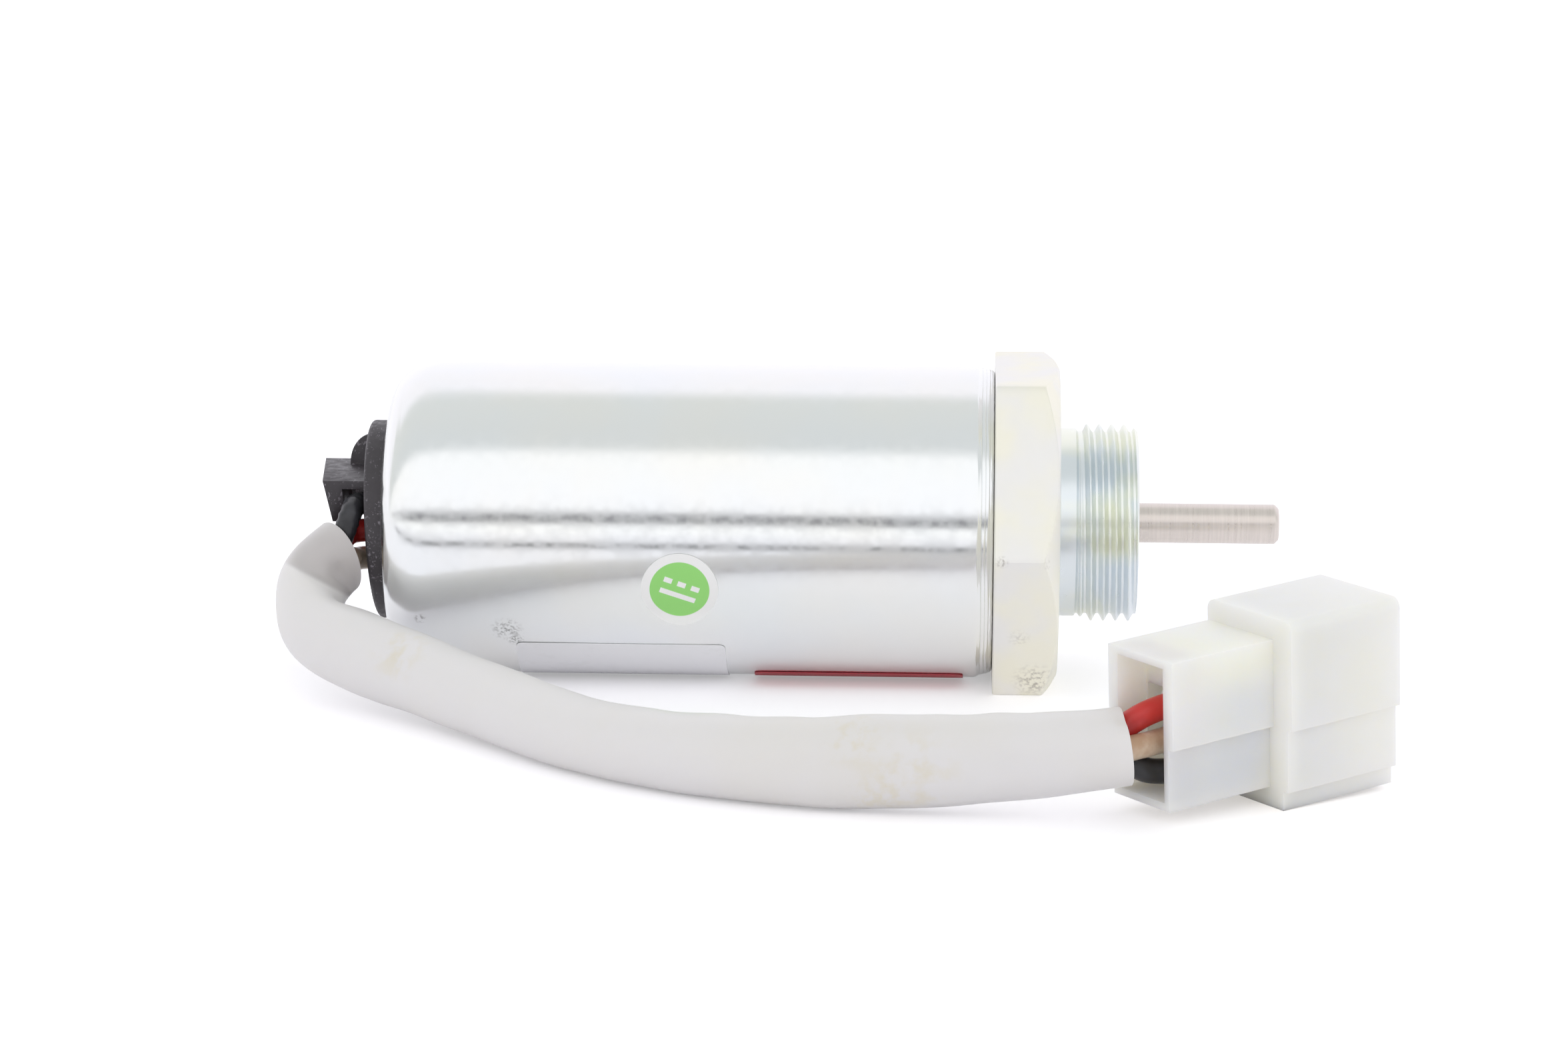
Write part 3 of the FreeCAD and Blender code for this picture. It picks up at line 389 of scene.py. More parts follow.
def make_sleeve_skin():
    """Milky soft tube, a little yellow in places, with painted shade over its crease at the hood.
    """
    material = new_material("sleeve_milky", (0.78, 0.77, 0.75), 0.34)
    tree, shader, place = worked(material)
    cloud = eased(tree, grain(tree, place, (55, 55, 55)), 0.4, 0.7)
    color = mixed(tree, calc(tree, "MULTIPLY", cloud, 0.4), (0.83, 0.81, 0.80), (0.82, 0.79, 0.73))
    # Yellow stain blots, made strong so that the middle ones, near x 8 to 14, also darken the
    # sleeve's lower side: part stain, part painted shade.
    color = smudged(tree, color, place, (
        ((8.0, -64.0, 9.6), 5.0, 700), ((14.0, -65.0, 5.0), 7.5, 420),
        ((11.0, -64.6, 1.6), 6.0, 800), ((-46.0, -29.0, 9.0), 5.0, 500),
        ((-55.6, -8.4, 18.6), 3.4, 500)), (0.76, 0.68, 0.47), 0.42)
    # Painted shade: the skin above the crease, near the fold, is darkened to grey.
    slant = vector_calc(tree, "DOT_PRODUCT", place, CREASE_NORMAL, "Value")
    level = CREASE_LEVEL * MM
    above = eased(tree, slant, level - 0.1 * MM, level + 0.5 * MM)
    gap = vector_calc(tree, "DISTANCE", place, [v * MM for v in FOLD_MIDDLE], "Value")
    near = eased(tree, gap, 5.0 * MM, 9.5 * MM, 1.0, 0.0)
    painted_crease_shade = calc(tree, "MULTIPLY", calc(tree, "MULTIPLY", above, near), 0.62)
    color = mixed(tree, painted_crease_shade, color, (0.42, 0.39, 0.385))
    feed(tree, shader["Base Color"], color)
    soft = grain(tree, place, (110, 110, 110), 1.0)
    feed(tree, shader["Roughness"], eased(tree, soft, 0.2, 0.8, 0.30, 0.40))
    feed(tree, shader["Normal"], bumped(tree, soft, 0.25, 0.4))
    shader["Subsurface Weight"].default_value = 0.4
    shader["Subsurface Radius"].default_value = (1.0, 0.95, 0.85)
    shader["Subsurface Scale"].default_value = 1.0 * MM
    return material


def make_insulation(name, color, stain_and_shade):
    material = new_material("insulation_" + name, color, 0.33)
    tree, shader, place = worked(material)
    # Patches of a second colour: stains on the black and red leads, painted shade on the white
    # one.
    patch = eased(tree, grain(tree, place, (260, 260, 260), 4.0),
                  0.48, 0.72)
    feed(tree, shader["Base Color"], mixed(tree, patch, color, stain_and_shade))
    wrinkle = grain(tree, place, (500, 500, 500), 2.0)
    feed(tree, shader["Roughness"], eased(tree, patch, 0.0, 1.0, 0.28, 0.48))
    feed(tree, shader["Normal"], bumped(tree, wrinkle, 0.12, 0.5))
    return material


def flat_distance(tree, across, along):
    """How far a point of the sheet's map lies from its middle, in mm."""
    squares = [calc(tree, "MULTIPLY", v, v) for v in (across, along)]
    return calc(tree, "SQRT", calc(tree, "ADD", *squares))


def bar_mask(tree, across, along, middle, half):
    """1 inside a bar of the sheet's map, 0 outside, with middle and half sizes in mm."""
    masks = []
    for value, centre, reach in zip((across, along), middle, half):
        gap = calc(tree, "ABSOLUTE", calc(tree, "SUBTRACT", value, centre))
        masks.append(eased(tree, gap, reach - PRINT_BLUR, reach + PRINT_BLUR, 1.0, 0.0))
    return calc(tree, "MULTIPLY", *masks)


def make_round_print():
    """White paper, a green disc, and the sign for direct current: a line over three dashes."""
    material = new_material("sticker_print", (0.85, 0.85, 0.84), 0.45)
    tree, shader, place = worked(material, "UV")
    turned = tree.nodes.new("ShaderNodeVectorRotate")
    turned.rotation_type = "Z_AXIS"
    turned.inputs["Angle"].default_value = math.radians(SIGN_TILT)
    tree.links.new(place, turned.inputs["Vector"])
    split = parts_of(tree, turned.outputs[0])
    across, along = split["X"], split["Y"]
    bars = [((0.0, SIGN_RISE), (SIGN_HALF, BAR_HALF))]
    bars += [((step * DASH_PITCH, -SIGN_RISE), (DASH_HALF, BAR_HALF)) for step in (-1, 0, 1)]
    sign = 0.0
    for middle, half in bars:
        sign = calc(tree, "ADD", bar_mask(tree, across, along, middle, half), sign)
    disc = eased(tree, flat_distance(tree, across, along), GREEN_R - 0.05, GREEN_R + 0.05,
                 1.0, 0.0)
    green = calc(tree, "MULTIPLY", disc, calc(tree, "SUBTRACT", 1.0, sign))
    feed(tree, shader["Base Color"], mixed(tree, green, (0.98, 0.98, 0.97),
                                           (0.34, 0.78, 0.21)))
    return material


def make_label_paper(name, color, dirt_and_shade):
    material = new_material(name, color, 0.4)
    tree, shader, place = worked(material)
    grime = effect(tree, FLECKS, place, Scale=600.0, Start=0.56)
    feed(tree, shader["Base Color"], mixed(tree, calc(tree, "MULTIPLY", grime, 0.4), color, dirt_and_shade))
    return material


# The plane of the sleeve's crease: the skin above it lies further back, and near the fold it is
# painted darker as shade.
CREASE_NORMAL = (0.451, 0.2739, 0.8494)
CREASE_LEVEL = -18.11
FOLD_MIDDLE = (-55.0, -12.0, 13.5)
# The round print, in mm and degrees: its disc, and the sign's line and dashes.
SIGN_TILT, GREEN_R, PRINT_BLUR = 200.0, 3.55, 0.04
SIGN_RISE, SIGN_HALF, BAR_HALF, DASH_HALF, DASH_PITCH = 0.75, 2.2, 0.33, 0.5, 1.7
ZINC = make_can_zinc()
ZINC_TURNED = make_turned_zinc()
PIN_STEEL = make_pin_steel()
BLACK_PLASTIC = make_cap_black()
CREAM = make_connector_cream()
SLEEVE = make_sleeve_skin()
BLACK_WIRE = make_insulation("black", (0.028, 0.028, 0.032), (0.05, 0.05, 0.06))
RED_WIRE = make_insulation("red", (0.66, 0.035, 0.03), (0.50, 0.03, 0.03))
# The white lead is given a tan colour with brown patches: painted shade for the shade it lies in
# by the cap. The lead itself is white.
WHITE_WIRE = make_insulation("white", (0.84, 0.70, 0.55), (0.62, 0.42, 0.28))
STICKER_PRINT = make_round_print()
WHITE_LABEL = make_label_paper("label_white", (0.98, 0.98, 1.0), (0.90, 0.90, 0.91))
RED_LABEL = make_label_paper("label_red", (0.50, 0.04, 0.06), (0.35, 0.06, 0.06))


# %% [markdown]
# ## The drawn can
# One profile is spun round the axis: the closed end with its wide soft corner, the long
# straight wall, and the lip that is rolled down over the front body.

# %%
def smooth_through(points, count=6):
    """A smooth line of (x, radius) pairs through the given ones."""
    out = []
    for i in range(len(points) - 1):
        p0, p1 = points[max(i - 1, 0)], points[i]
        p2, p3 = points[i + 1], points[min(i + 2, len(points) - 1)]
        for k in range(count):
            t = k / count
            out.append(tuple(
                0.5 * (2 * b + (c - a) * t + (2 * a - 5 * b + 4 * c - d) * t * t
                       + (3 * b - a - 3 * c + d) * t ** 3)
                for a, b, c, d in zip(p0, p1, p2, p3)))
    return out + [points[-1]]


WAVE_LENGTH, WAVE_DEPTH = 14.0, 0.10
DENT_AT, DENT_SPREAD, DENT_DEPTH = (-47.0, -9.0, 34.0), 30.0, 0.16


def can_sway(x, y, z):
    """How far the can's skin is pushed outward there, in mm: soft waves, a dent, a worn lip."""
    sway = noise.noise((x / WAVE_LENGTH, y / WAVE_LENGTH, z / WAVE_LENGTH)) * WAVE_DEPTH
    away = sum((a - b) ** 2 for a, b in zip((x, y, z), DENT_AT))
    sway -= DENT_DEPTH * math.exp(-away / DENT_SPREAD)
    sway *= share_of(x, -50.0, 6.0) * share_of(x, 21.0, -4.0)
    if x > 22.7:
        sway += 0.12 * noise.noise((x * 3.0, y * 1.4, z * 1.4))
    return sway


def make_can():
    corner = smooth_through([(CAN_REAR, 11.0), (CAN_REAR, 12.3), (-50.12, 13.2), (-49.98, 14.2),
                             (-49.78, 15.1), (-49.42, 16.0), (-48.75, 17.0), (-47.4, 18.0),
                             (-45.9, 18.6), (-44.2, 18.88), (-42.2, CAN_R)], 6)
    wall = [(x, CAN_R) for x in (-36.0, -24.0, -12.0, 0.0, 12.0, 20.0)]
    lip = smooth_through([(20.7, CAN_R), (21.05, 18.97), (21.3, 18.82), (21.55, 18.68),
                          (21.62, 18.60), (21.7, 18.66), (22.0, 18.60), (22.08, 18.52),
                          (22.16, 18.57), (22.45, 18.50), (22.55, 18.40), (22.8, 18.34),
                          (23.0, 18.15), (23.05, 17.9)], 4)
    inner_r = CAN_R - CAN_WALL
    inside = [(23.05, 17.75), (21.6, 17.75), (21.2, inner_r), (-44.0, inner_r),
              (-48.3, 15.0), (-48.8, 11.0)]
    bm = lathe(corner + wall + lip + inside, 240)
    for vert in bm.verts:
        x, y, z = vert.co / MM
        radius = math.hypot(y, z - AXIS_Z)
        if radius >= inner_r + 0.1:
            inward = min(can_sway(x, y, z), 0.0) / radius
            vert.co += Vector((0.0, y, z - AXIS_Z)) * inward * MM
    can = finish_mesh("can_shell", bm, ZINC, sharp=40)
    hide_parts("can")


make_can()


# %% [markdown]
# ## Front body
# The hexagon's rim is cut by a thirty degree cone, so each flat ends in a curved edge. The
# thread is one ridge that climbs round the boss and runs out at both ends.

# %%
CHAMFER_R, CHAMFER_SLOPE = 18.6, math.tan(math.radians(60.0))
THREAD_CREST_R, THREAD_ROOT_R, THREAD_STEP = 11.93, 11.05, 0.06
CREST_SHARE, FLANK_SHARE, RUN_IN = 0.18, 0.72, 0.7
BUSH_SEAT_R, BUSH_SEAT_END, BUMPER_R = 3.57, 28.2, 8.0
SPIGOT_END, SPIGOT_R = 16.0, 17.3
PIN_FOOT, GROOVE_LEFT, GROOVE_RIGHT, GROOVE_R, PIN_CHAMFER = 4.15, 14.15, 14.83, 1.95, 0.4


def hex_radius(angle):
    """Distance from the axis to the hexagon's rim, its corners a little rounded."""
    off = (angle - math.pi / 2) % (math.pi / 3)
    off = min(off, math.pi / 3 - off)
    return min(HEX_FLATS / 2 / math.cos(off), HEX_FLATS / 2 / math.cos(math.pi / 6) - 0.12)


def thread_radius(x, angle):
    """Radius of the threaded boss, crests narrow and roots rounded."""
    turn = ((x - NECK_END) / PITCH - angle / (2 * math.pi)) % 1.0
    climb = 1.0 - abs(2.0 * turn - 1.0)
    climb = share_of(climb, CREST_SHARE, FLANK_SHARE)
    climb = climb * climb * (3.0 - 2.0 * climb) * 0.35 + climb * 0.65
    fade = share_of(x, NECK_END + 0.1, RUN_IN)
    radius = THREAD_ROOT_R + (THREAD_CREST_R - THREAD_ROOT_R) * climb * fade
    return min(radius, THREAD_ROOT_R + (BOSS_END - x) * 1.1)


def make_front_body(steps=288):
    bm = bmesh.new()
    rows = []

    def add_row(place_at, radius_at):
        row = []
        for k in range(steps):
            angle = 2 * math.pi * k / steps
            radius = radius_at(angle)
            row.append(bm.verts.new((place_at(angle, radius) * MM,
                                     math.cos(angle) * radius * MM,
                                     (AXIS_Z + math.sin(angle) * radius) * MM)))
        rows.append(row)

    def add_ring(x, radius):
        add_row(lambda angle, r: x, lambda angle: radius)

    def cone(angle, radius):
        return HEX_RIGHT - (radius - CHAMFER_R) / CHAMFER_SLOPE

    add_ring(HEX_LEFT, SPIGOT_R + 0.3)
    add_ring(HEX_LEFT, CHAMFER_R)
    add_row(lambda angle, r: HEX_LEFT, lambda angle: hex_radius(angle) - 0.15)
    add_row(lambda angle, r: HEX_LEFT + 0.15, hex_radius)
    add_row(lambda angle, r: cone(angle, r) - 0.08, hex_radius)
    add_row(cone, lambda angle: hex_radius(angle) - 0.05)
    add_ring(HEX_RIGHT - 0.03, CHAMFER_R + 0.02)
    add_ring(HEX_RIGHT, CHAMFER_R - 0.08)
    add_ring(HEX_RIGHT, NECK_R + 0.25)
    add_ring(HEX_RIGHT + 0.06, NECK_R + 0.07)
    add_ring(HEX_RIGHT + 0.25, NECK_R)
    add_ring(NECK_END - 0.28, NECK_R)
    add_ring(NECK_END - 0.1, THREAD_ROOT_R + 0.1)
    count = int((BOSS_END - NECK_END) / THREAD_STEP)
    for i in range(count + 1):
        x = NECK_END + (BOSS_END - NECK_END) * i / count
        add_row(lambda angle, r: x, lambda angle: thread_radius(x, angle))
    add_ring(BOSS_END, BUSH_SEAT_R + 0.3)
    add_ring(BOSS_END - 0.3, BUSH_SEAT_R)
    add_ring(BUSH_SEAT_END, BUSH_SEAT_R)
    add_ring(BUSH_SEAT_END, BUMPER_R)
    add_ring(SPIGOT_END, BUMPER_R)
    add_ring(SPIGOT_END, SPIGOT_R)
    rows.append(rows[0])
    for a, b in zip(rows, rows[1:]):
        for k in range(steps):
            bm.faces.new((a[k], a[(k + 1) % steps], b[(k + 1) % steps], b[k]))
    body = finish_mesh("front_body", bm, ZINC_TURNED, sharp=24)
    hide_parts("hex_body")


def make_push_pin():
    tip = [(PIN_TIP, 0.0), (PIN_TIP, PIN_R - 0.5), (PIN_TIP - 0.06, PIN_R - 0.42),
           (PIN_TIP - 0.45, PIN_R - 0.04), (PIN_TIP - 0.6, PIN_R)]
    shank = [(GROOVE_RIGHT + 0.07, PIN_R), (GROOVE_RIGHT, PIN_R - 0.05),
             (GROOVE_RIGHT, GROOVE_R), (GROOVE_LEFT, GROOVE_R), (GROOVE_LEFT, PIN_R),
             (PIN_FOOT + 0.45, PIN_R), (PIN_FOOT, PIN_R - PIN_CHAMFER), (PIN_FOOT, 0.0)]
    pin = finish_mesh("push_rod", lathe(tip + shank, 96, closed=False), PIN_STEEL,
                      body="plunger", sharp=30)
    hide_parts("push_pin")


make_front_body()
make_push_pin()


# %% [markdown]
# ## Rear cap and connector
# Both are moulded, so their corners are soft. The hood's end face runs a little askew.

# %%
HOOD_SKEW, SKEW_FROM = 1.35, -55.0
# The web's near and far side and its left limit, and the share that it keeps of its length.
WEB_NEAR, WEB_FAR, WEB_LEFT, WEB_REACH = 2.75, 6.25, -56.5, 0.82
# The pressed-on cap leans out, by this slope left of CAP_FRONT, and its rim sits low.
CAP_TILT, CAP_SAG, CAP_FRONT, RIM_FROM = 0.05, 0.6, FLANGE_LEFT + 0.6, 9.5


def make_rear_cap():
    bm = rounded_copy("end_cap", 0.22, 2)
    for vert in bm.verts:
        x, y, z = vert.co / MM
        shift = -HOOD_SKEW * (y - HOOD_NEAR) / HOOD_WIDTH * share_of(x, SKEW_FROM, -0.5)
        if z > HOOD_TOP - 0.05 and WEB_NEAR < y < WEB_FAR and WEB_LEFT < x < FLANGE_LEFT:
            shift = (FLANGE_LEFT - x) * (1.0 - WEB_REACH)
        if x < CAP_FRONT:
            shift -= CAP_TILT * (z - AXIS_Z)
        rim = share_of(math.hypot(y, z - AXIS_Z), RIM_FROM, 2.0)
        vert.co += Vector((shift, 0.0, -CAP_SAG * rim)) * MM
    cap = finish_mesh("rear_cap", bm, BLACK_PLASTIC, sharp=35)
    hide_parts("end_cap")


def make_connector():
    bm = rounded_copy("connector_housing", 0.35, 3, 40.0)
    shell = finish_mesh("connector_shell", bm, CREAM, sharp=35)
    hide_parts("connector_housing")


make_rear_cap()
make_connector()
nodes["lead_bushing"].data.materials.clear()
nodes["lead_bushing"].data.materials.append(BLACK_PLASTIC)


# %% [markdown]
# ## Stickers
# Each one is a thin sheet bent round the can. Its map counts millimetres from its middle.

# %%
LABEL_IN, LABEL_OUT = 19.03, 19.13
SPOT_X, SPOT_ANGLE, SPOT_R = -14.0, 13.8, 4.6
# The round print's lower edge has come loose from this far below its middle.
SPOT_LIFT, LIFT_FROM = 0.55, 2.6
# Left and right end along X, first and last angle below the near side, and corner radius.
WHITE_LIMITS = (-33.9, -8.8, 40.0, 80.0, 0.8)
RED_LIMITS = (-5.6, 19.6, 64.0, 80.0, 0.8)


def bent_place(x, below, radius):
    """A point on the can, with its angle below the near side in degrees."""
    turn = math.radians(below)
    return ((x * MM), -math.cos(turn) * radius * MM, (AXIS_Z - math.sin(turn) * radius) * MM)


def bent_sheet(rows, lift_at):
    """A closed thin sheet from rows of (x, angle below, map u, map v)."""
    bm = bmesh.new()
    uv = bm.loops.layers.uv.new("map")
    maps = {}
    sides = []
    for base in (LABEL_OUT, LABEL_IN):
        grid = []
        for row in rows:
            line = []
            for x, below, u, v in row:
                vert = bm.verts.new(bent_place(x, below, base + lift_at(u, v)))
                maps[vert] = (u, v)
                line.append(vert)
            grid.append(line)
        sides.append(grid)
    top, under = sides
    for grid in sides:
        for a, b in zip(grid, grid[1:]):
            for k in range(len(a) - 1):
                bm.faces.new((a[k], a[k + 1], b[k + 1], b[k]))
    rim_top, rim_under = (side[0] + [r[-1] for r in side[1:]] + side[-1][-2::-1]
                          + [r[0] for r in side[-2:0:-1]] for side in (top, under))
    for k in range(len(rim_top)):
        n = (k + 1) % len(rim_top)
        bm.faces.new((rim_top[k], rim_top[n], rim_under[n], rim_under[k]))
    for face in bm.faces:
        for loop in face.loops:
            loop[uv].uv = maps[loop.vert]
    return bm


def disc_rows(radius, count=48):
    """Rows of a square net pushed into a disc, so that its rim is round."""
    rows = []
    for i in range(count + 1):
        row = []
        for k in range(count + 1):
            a, b = 2.0 * k / count - 1.0, 2.0 * i / count - 1.0
            u = a * math.sqrt(1.0 - b * b / 2.0) * radius
            v = b * math.sqrt(1.0 - a * a / 2.0) * radius
            row.append((SPOT_X + u, SPOT_ANGLE - math.degrees(v / LABEL_OUT), u, v))
        rows.append(row)
    return rows


def band_rows(left, right, first, last, corner, count=24):
    """Rows of a label between two stations and two angles, its corners rounded."""
    rows = []
    high = math.radians(last - first) * LABEL_OUT
    for i in range(count + 1):
        down = high * (0.5 - 0.5 * math.cos(math.pi * i / count))
        edge = min(down, high - down)
        inset = corner - math.sqrt(max(0.0, corner ** 2 - max(0.0, corner - edge) ** 2))
        row = []
        for k in range(count + 1):
            x = left + inset + (right - left - 2 * inset) * k / count
            row.append((x, first + math.degrees(down / LABEL_OUT), x - left, down))
        rows.append(row)
    return rows


def make_sheets():
    def lifted(u, v):
        return SPOT_LIFT * share_of(-v, LIFT_FROM, SPOT_R - LIFT_FROM) ** 2

    def flat(u, v):
        return 0.0

    for node, name, rows, lift_at, material, slot in (
            ("round_sticker", "round_print", disc_rows(SPOT_R), lifted, STICKER_PRINT,
             "sticker_green"),
            ("rating_label", "rating_label_sheet", band_rows(*WHITE_LIMITS), flat, WHITE_LABEL,
             "label_white"),
            ("red_label", "red_label_sheet", band_rows(*RED_LIMITS), flat, RED_LABEL,
             "label_red")):
        sheet = finish_mesh(name, bent_sheet(rows, lift_at), material, sharp=50)
        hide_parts(node)


make_sheets()


# %% [markdown]
# ## The routes
# Each route is a NURBS curve. The tubes follow points that are read back from it.

# %%
def in_metres(point):
    return [v * MM for v in point]


def nurbs_path(name, points):
    """The points, in mm, that a NURBS curve drawn along this route follows."""
    curve = bpy.data.curves.new(name, "CURVE")
    curve.dimensions = "3D"
    spline = curve.splines.new("NURBS")
    spline.points.add(len(points) - 1)
    for place, point in zip(spline.points, points):
        place.co = (*in_metres(point), 1.0)
    spline.order_u = 3
    spline.use_endpoint_u = True
    spline.resolution_u = 12
    holder = bpy.data.objects.new(name, curve)
    mesh = bpy.data.meshes.new_from_object(holder)
    line = [Vector(v.co) / MM for v in mesh.vertices]
    bpy.data.objects.remove(holder)
    return line


def even_line(line, spacing):
    """The same line with points at an even spacing, in mm."""
    lengths = [0.0]
    for a, b in zip(line, line[1:]):
        lengths.append(lengths[-1] + (b - a).length)
    count = max(8, int(lengths[-1] / spacing))
    out, at = [], 0
    for i in range(count + 1):
        want = lengths[-1] * i / count
        while at < len(lengths) - 2 and lengths[at + 1] < want:
            at += 1
        step = max(lengths[at + 1] - lengths[at], 1e-9)
        out.append(line[at].lerp(line[at + 1], min(1.0, (want - lengths[at]) / step)))
    return out, lengths[-1]


def carried_frames(line):
    """Tangent and two normals at each point, carried along without twist."""
    frames, normal = [], None
    for i, point in enumerate(line):
        ahead = (line[min(i + 1, len(line) - 1)] - line[max(i - 1, 0)]).normalized()
        if normal is None:
            normal = Vector((0, 0, 1)) - ahead * ahead.z
        normal = (normal - ahead * normal.dot(ahead)).normalized()
        frames.append((ahead, normal, ahead.cross(normal)))
    return frames


def join_rings(bm, rings):
    """Faces between each ring of corners and the next one."""
    for a, b in zip(rings, rings[1:]):
        for k in range(len(a)):
            n = (k + 1) % len(a)
            bm.faces.new((a[k], a[n], b[n], b[k]))


def tube(line, radius_at, sides):
    """A closed cord along a line. radius_at gives a radius for a fraction and an angle."""
    bm = bmesh.new()
    last = len(line) - 1
    rings = []
    for i, (point, (ahead, up, side)) in enumerate(zip(line, carried_frames(line))):
        ring = []
        for k in range(sides):
            angle = 2 * math.pi * k / sides
            out = (up * math.cos(angle) + side * math.sin(angle)) * radius_at(i / last, angle)
            ring.append(bm.verts.new((point + out) * MM))
        rings.append(ring)
    join_rings(bm, rings)
    bm.faces.new(rings[0])
    bm.faces.new(rings[-1])
    return bm


def lay_beside(points, first_angle):
    """The route of one lead inside the sleeve, beside its points and slowly turning."""
    centres = [Vector(p) for p in points]
    route = []
    for i, centre in enumerate(centres):
        ahead = (centres[min(i + 1, len(centres) - 1)] - centres[max(i - 1, 0)]).normalized()
        side = ahead.cross(Vector((0, 0, 1))).normalized()
        upward = side.cross(ahead)
        angle = math.radians(first_angle - LAY_TWIST * i / (len(centres) - 1))
        route.append(centre + (side * math.cos(angle) + upward * math.sin(angle)) * LAY_RADIUS)
    return route


connector_turn = (Matrix.Rotation(math.radians(CONNECTOR_TURN), 4, "Z")
                  @ Matrix.Rotation(-math.radians(CONNECTOR_LIFT), 4, "Y"))
connector_matrix = Matrix.Translation(CONNECTOR_AT) @ connector_turn


def lead_route(free_points, place, chamber, angle):
    """One lead's whole route, from its seat in the cap to its barrel in the connector."""
    start = Vector((FLANGE_LEFT - BUSHING_PROUD + LEAD_DEPTH, LEAD_Y,
                    AXIS_Z + LEAD_RISE - LEAD_PITCH * place))
    last, before = Vector(SLEEVE_ROUTE[-1]), Vector(SLEEVE_ROUTE[-2])
    beyond = last + (last - before).normalized() * SLEEVE_SHORT
    inside = lay_beside(SLEEVE_ROUTE[1:-1] + [tuple(beyond)], angle)
    height = CHAMBER_MID + (chamber - 1) * CHAMBER_PITCH
    barrel_end = -BLOCK_LENGTH + RECESS_DEPTH + BARREL_GRIP
    ends = [connector_matrix @ Vector((barrel_end - BARREL_GRIP - LEAD_STRAIGHT,
                                       COLUMN_PLACE, height)),
            connector_matrix @ Vector((barrel_end, COLUMN_PLACE, height))]
    return [start] + [Vector(p) for p in free_points] + inside + ends


# %% [markdown]
# ## The soft sleeve
# The sleeve follows its route, but it isn't a plain tube: it stands taller where it sags on
# the table, it is creased where it folds back at the hood, and its mouth is cut askew.

# %%
SLEEVE_R, SLEEVE_WALL, SLEEVE_SIDES, RING_STEP = 4.4, 0.6, 72, 0.4
# Station along X in mm, and half the sleeve's height there.
SLEEVE_HEIGHTS = ((-60.0, 5.0), (-54.5, 5.2), (-48.2, 4.85), (-36.3, 4.5), (-21.5, 4.3),
                  (-14.6, 4.4), (-5.6, 4.75), (2.1, 4.95), (9.6, 5.3), (16.4, 5.2),
                  (22.7, 4.95), (28.2, 4.7), (35.6, 4.45), (40.0, 4.3))
# Dents: centre in mm, reach and depth in mm.
SLEEVE_DENTS = (((-53.2, -16.0, 12.6), 2.2, 0.9), ((-55.4, -13.5, 15.0), 1.2, 0.5),
                ((-63.0, -14.5, 9.5), 4.5, 0.7), ((-47.0, -29.8, 9.5), 2.2, 0.3),
                ((22.0, -65.0, 8.6), 3.0, 0.35), ((37.2, -64.0, 12.0), 1.2, 0.5))


# The fold starts at this share of the length, and over this much more the height takes over.
FOLD_SHARE, FOLD_EASE = 0.10, 0.08
# From this station, and over this length, the sleeve comes down to lie on the table.
TOUCH_DOWN, TOUCH_EASE = -48.0, 12.0
NARROWING, RIPPLE_LENGTH, RIPPLE_DEPTH = 0.25, 7.0, 0.14
# The mouth's rim reaches further on its upper side, on its near side most, and back all round,
# by these lengths in mm. This fades out over a number of rings.
MOUTH_UP, MOUTH_REACH, MOUTH_NEAR, MOUTH_BACK, MOUTH_RINGS = (
    Vector((-0.59, 0.0, 0.81)), 1.05, 1.8, 0.6, 16.0)
# The crease: its ends along X, its steps above and below, and how softly it starts and fades.
CREASE_START, CREASE_END, STEP_ABOVE, STEP_BELOW, STEP_EASE, STEP_FADE = (
    -61.5, -52.4, 1.25, 0.6, 0.35, 3.2)


def height_at(x):
    for (x0, h0), (x1, h1) in zip(SLEEVE_HEIGHTS, SLEEVE_HEIGHTS[1:]):
        if x <= x1:
            t = share_of(x, x0, x1 - x0)
            return h0 + (h1 - h0) * t * t * (3.0 - 2.0 * t)
    return SLEEVE_HEIGHTS[-1][1]


def fold_step(spot):
    """How far the skin is pushed along Y at the fold, in mm, by the side of the crease."""
    above = spot.dot(Vector(CREASE_NORMAL)) - CREASE_LEVEL
    reach = share_of(spot.x, CREASE_START, 2.0) * share_of(spot.x, CREASE_END, -1.0)
    side = min(1.0, max(-1.0, above / STEP_EASE))
    fade = math.exp(-(above / STEP_FADE) ** 2)
    return (STEP_ABOVE * max(side, 0.0) - STEP_BELOW * max(-side, 0.0)) * fade * reach


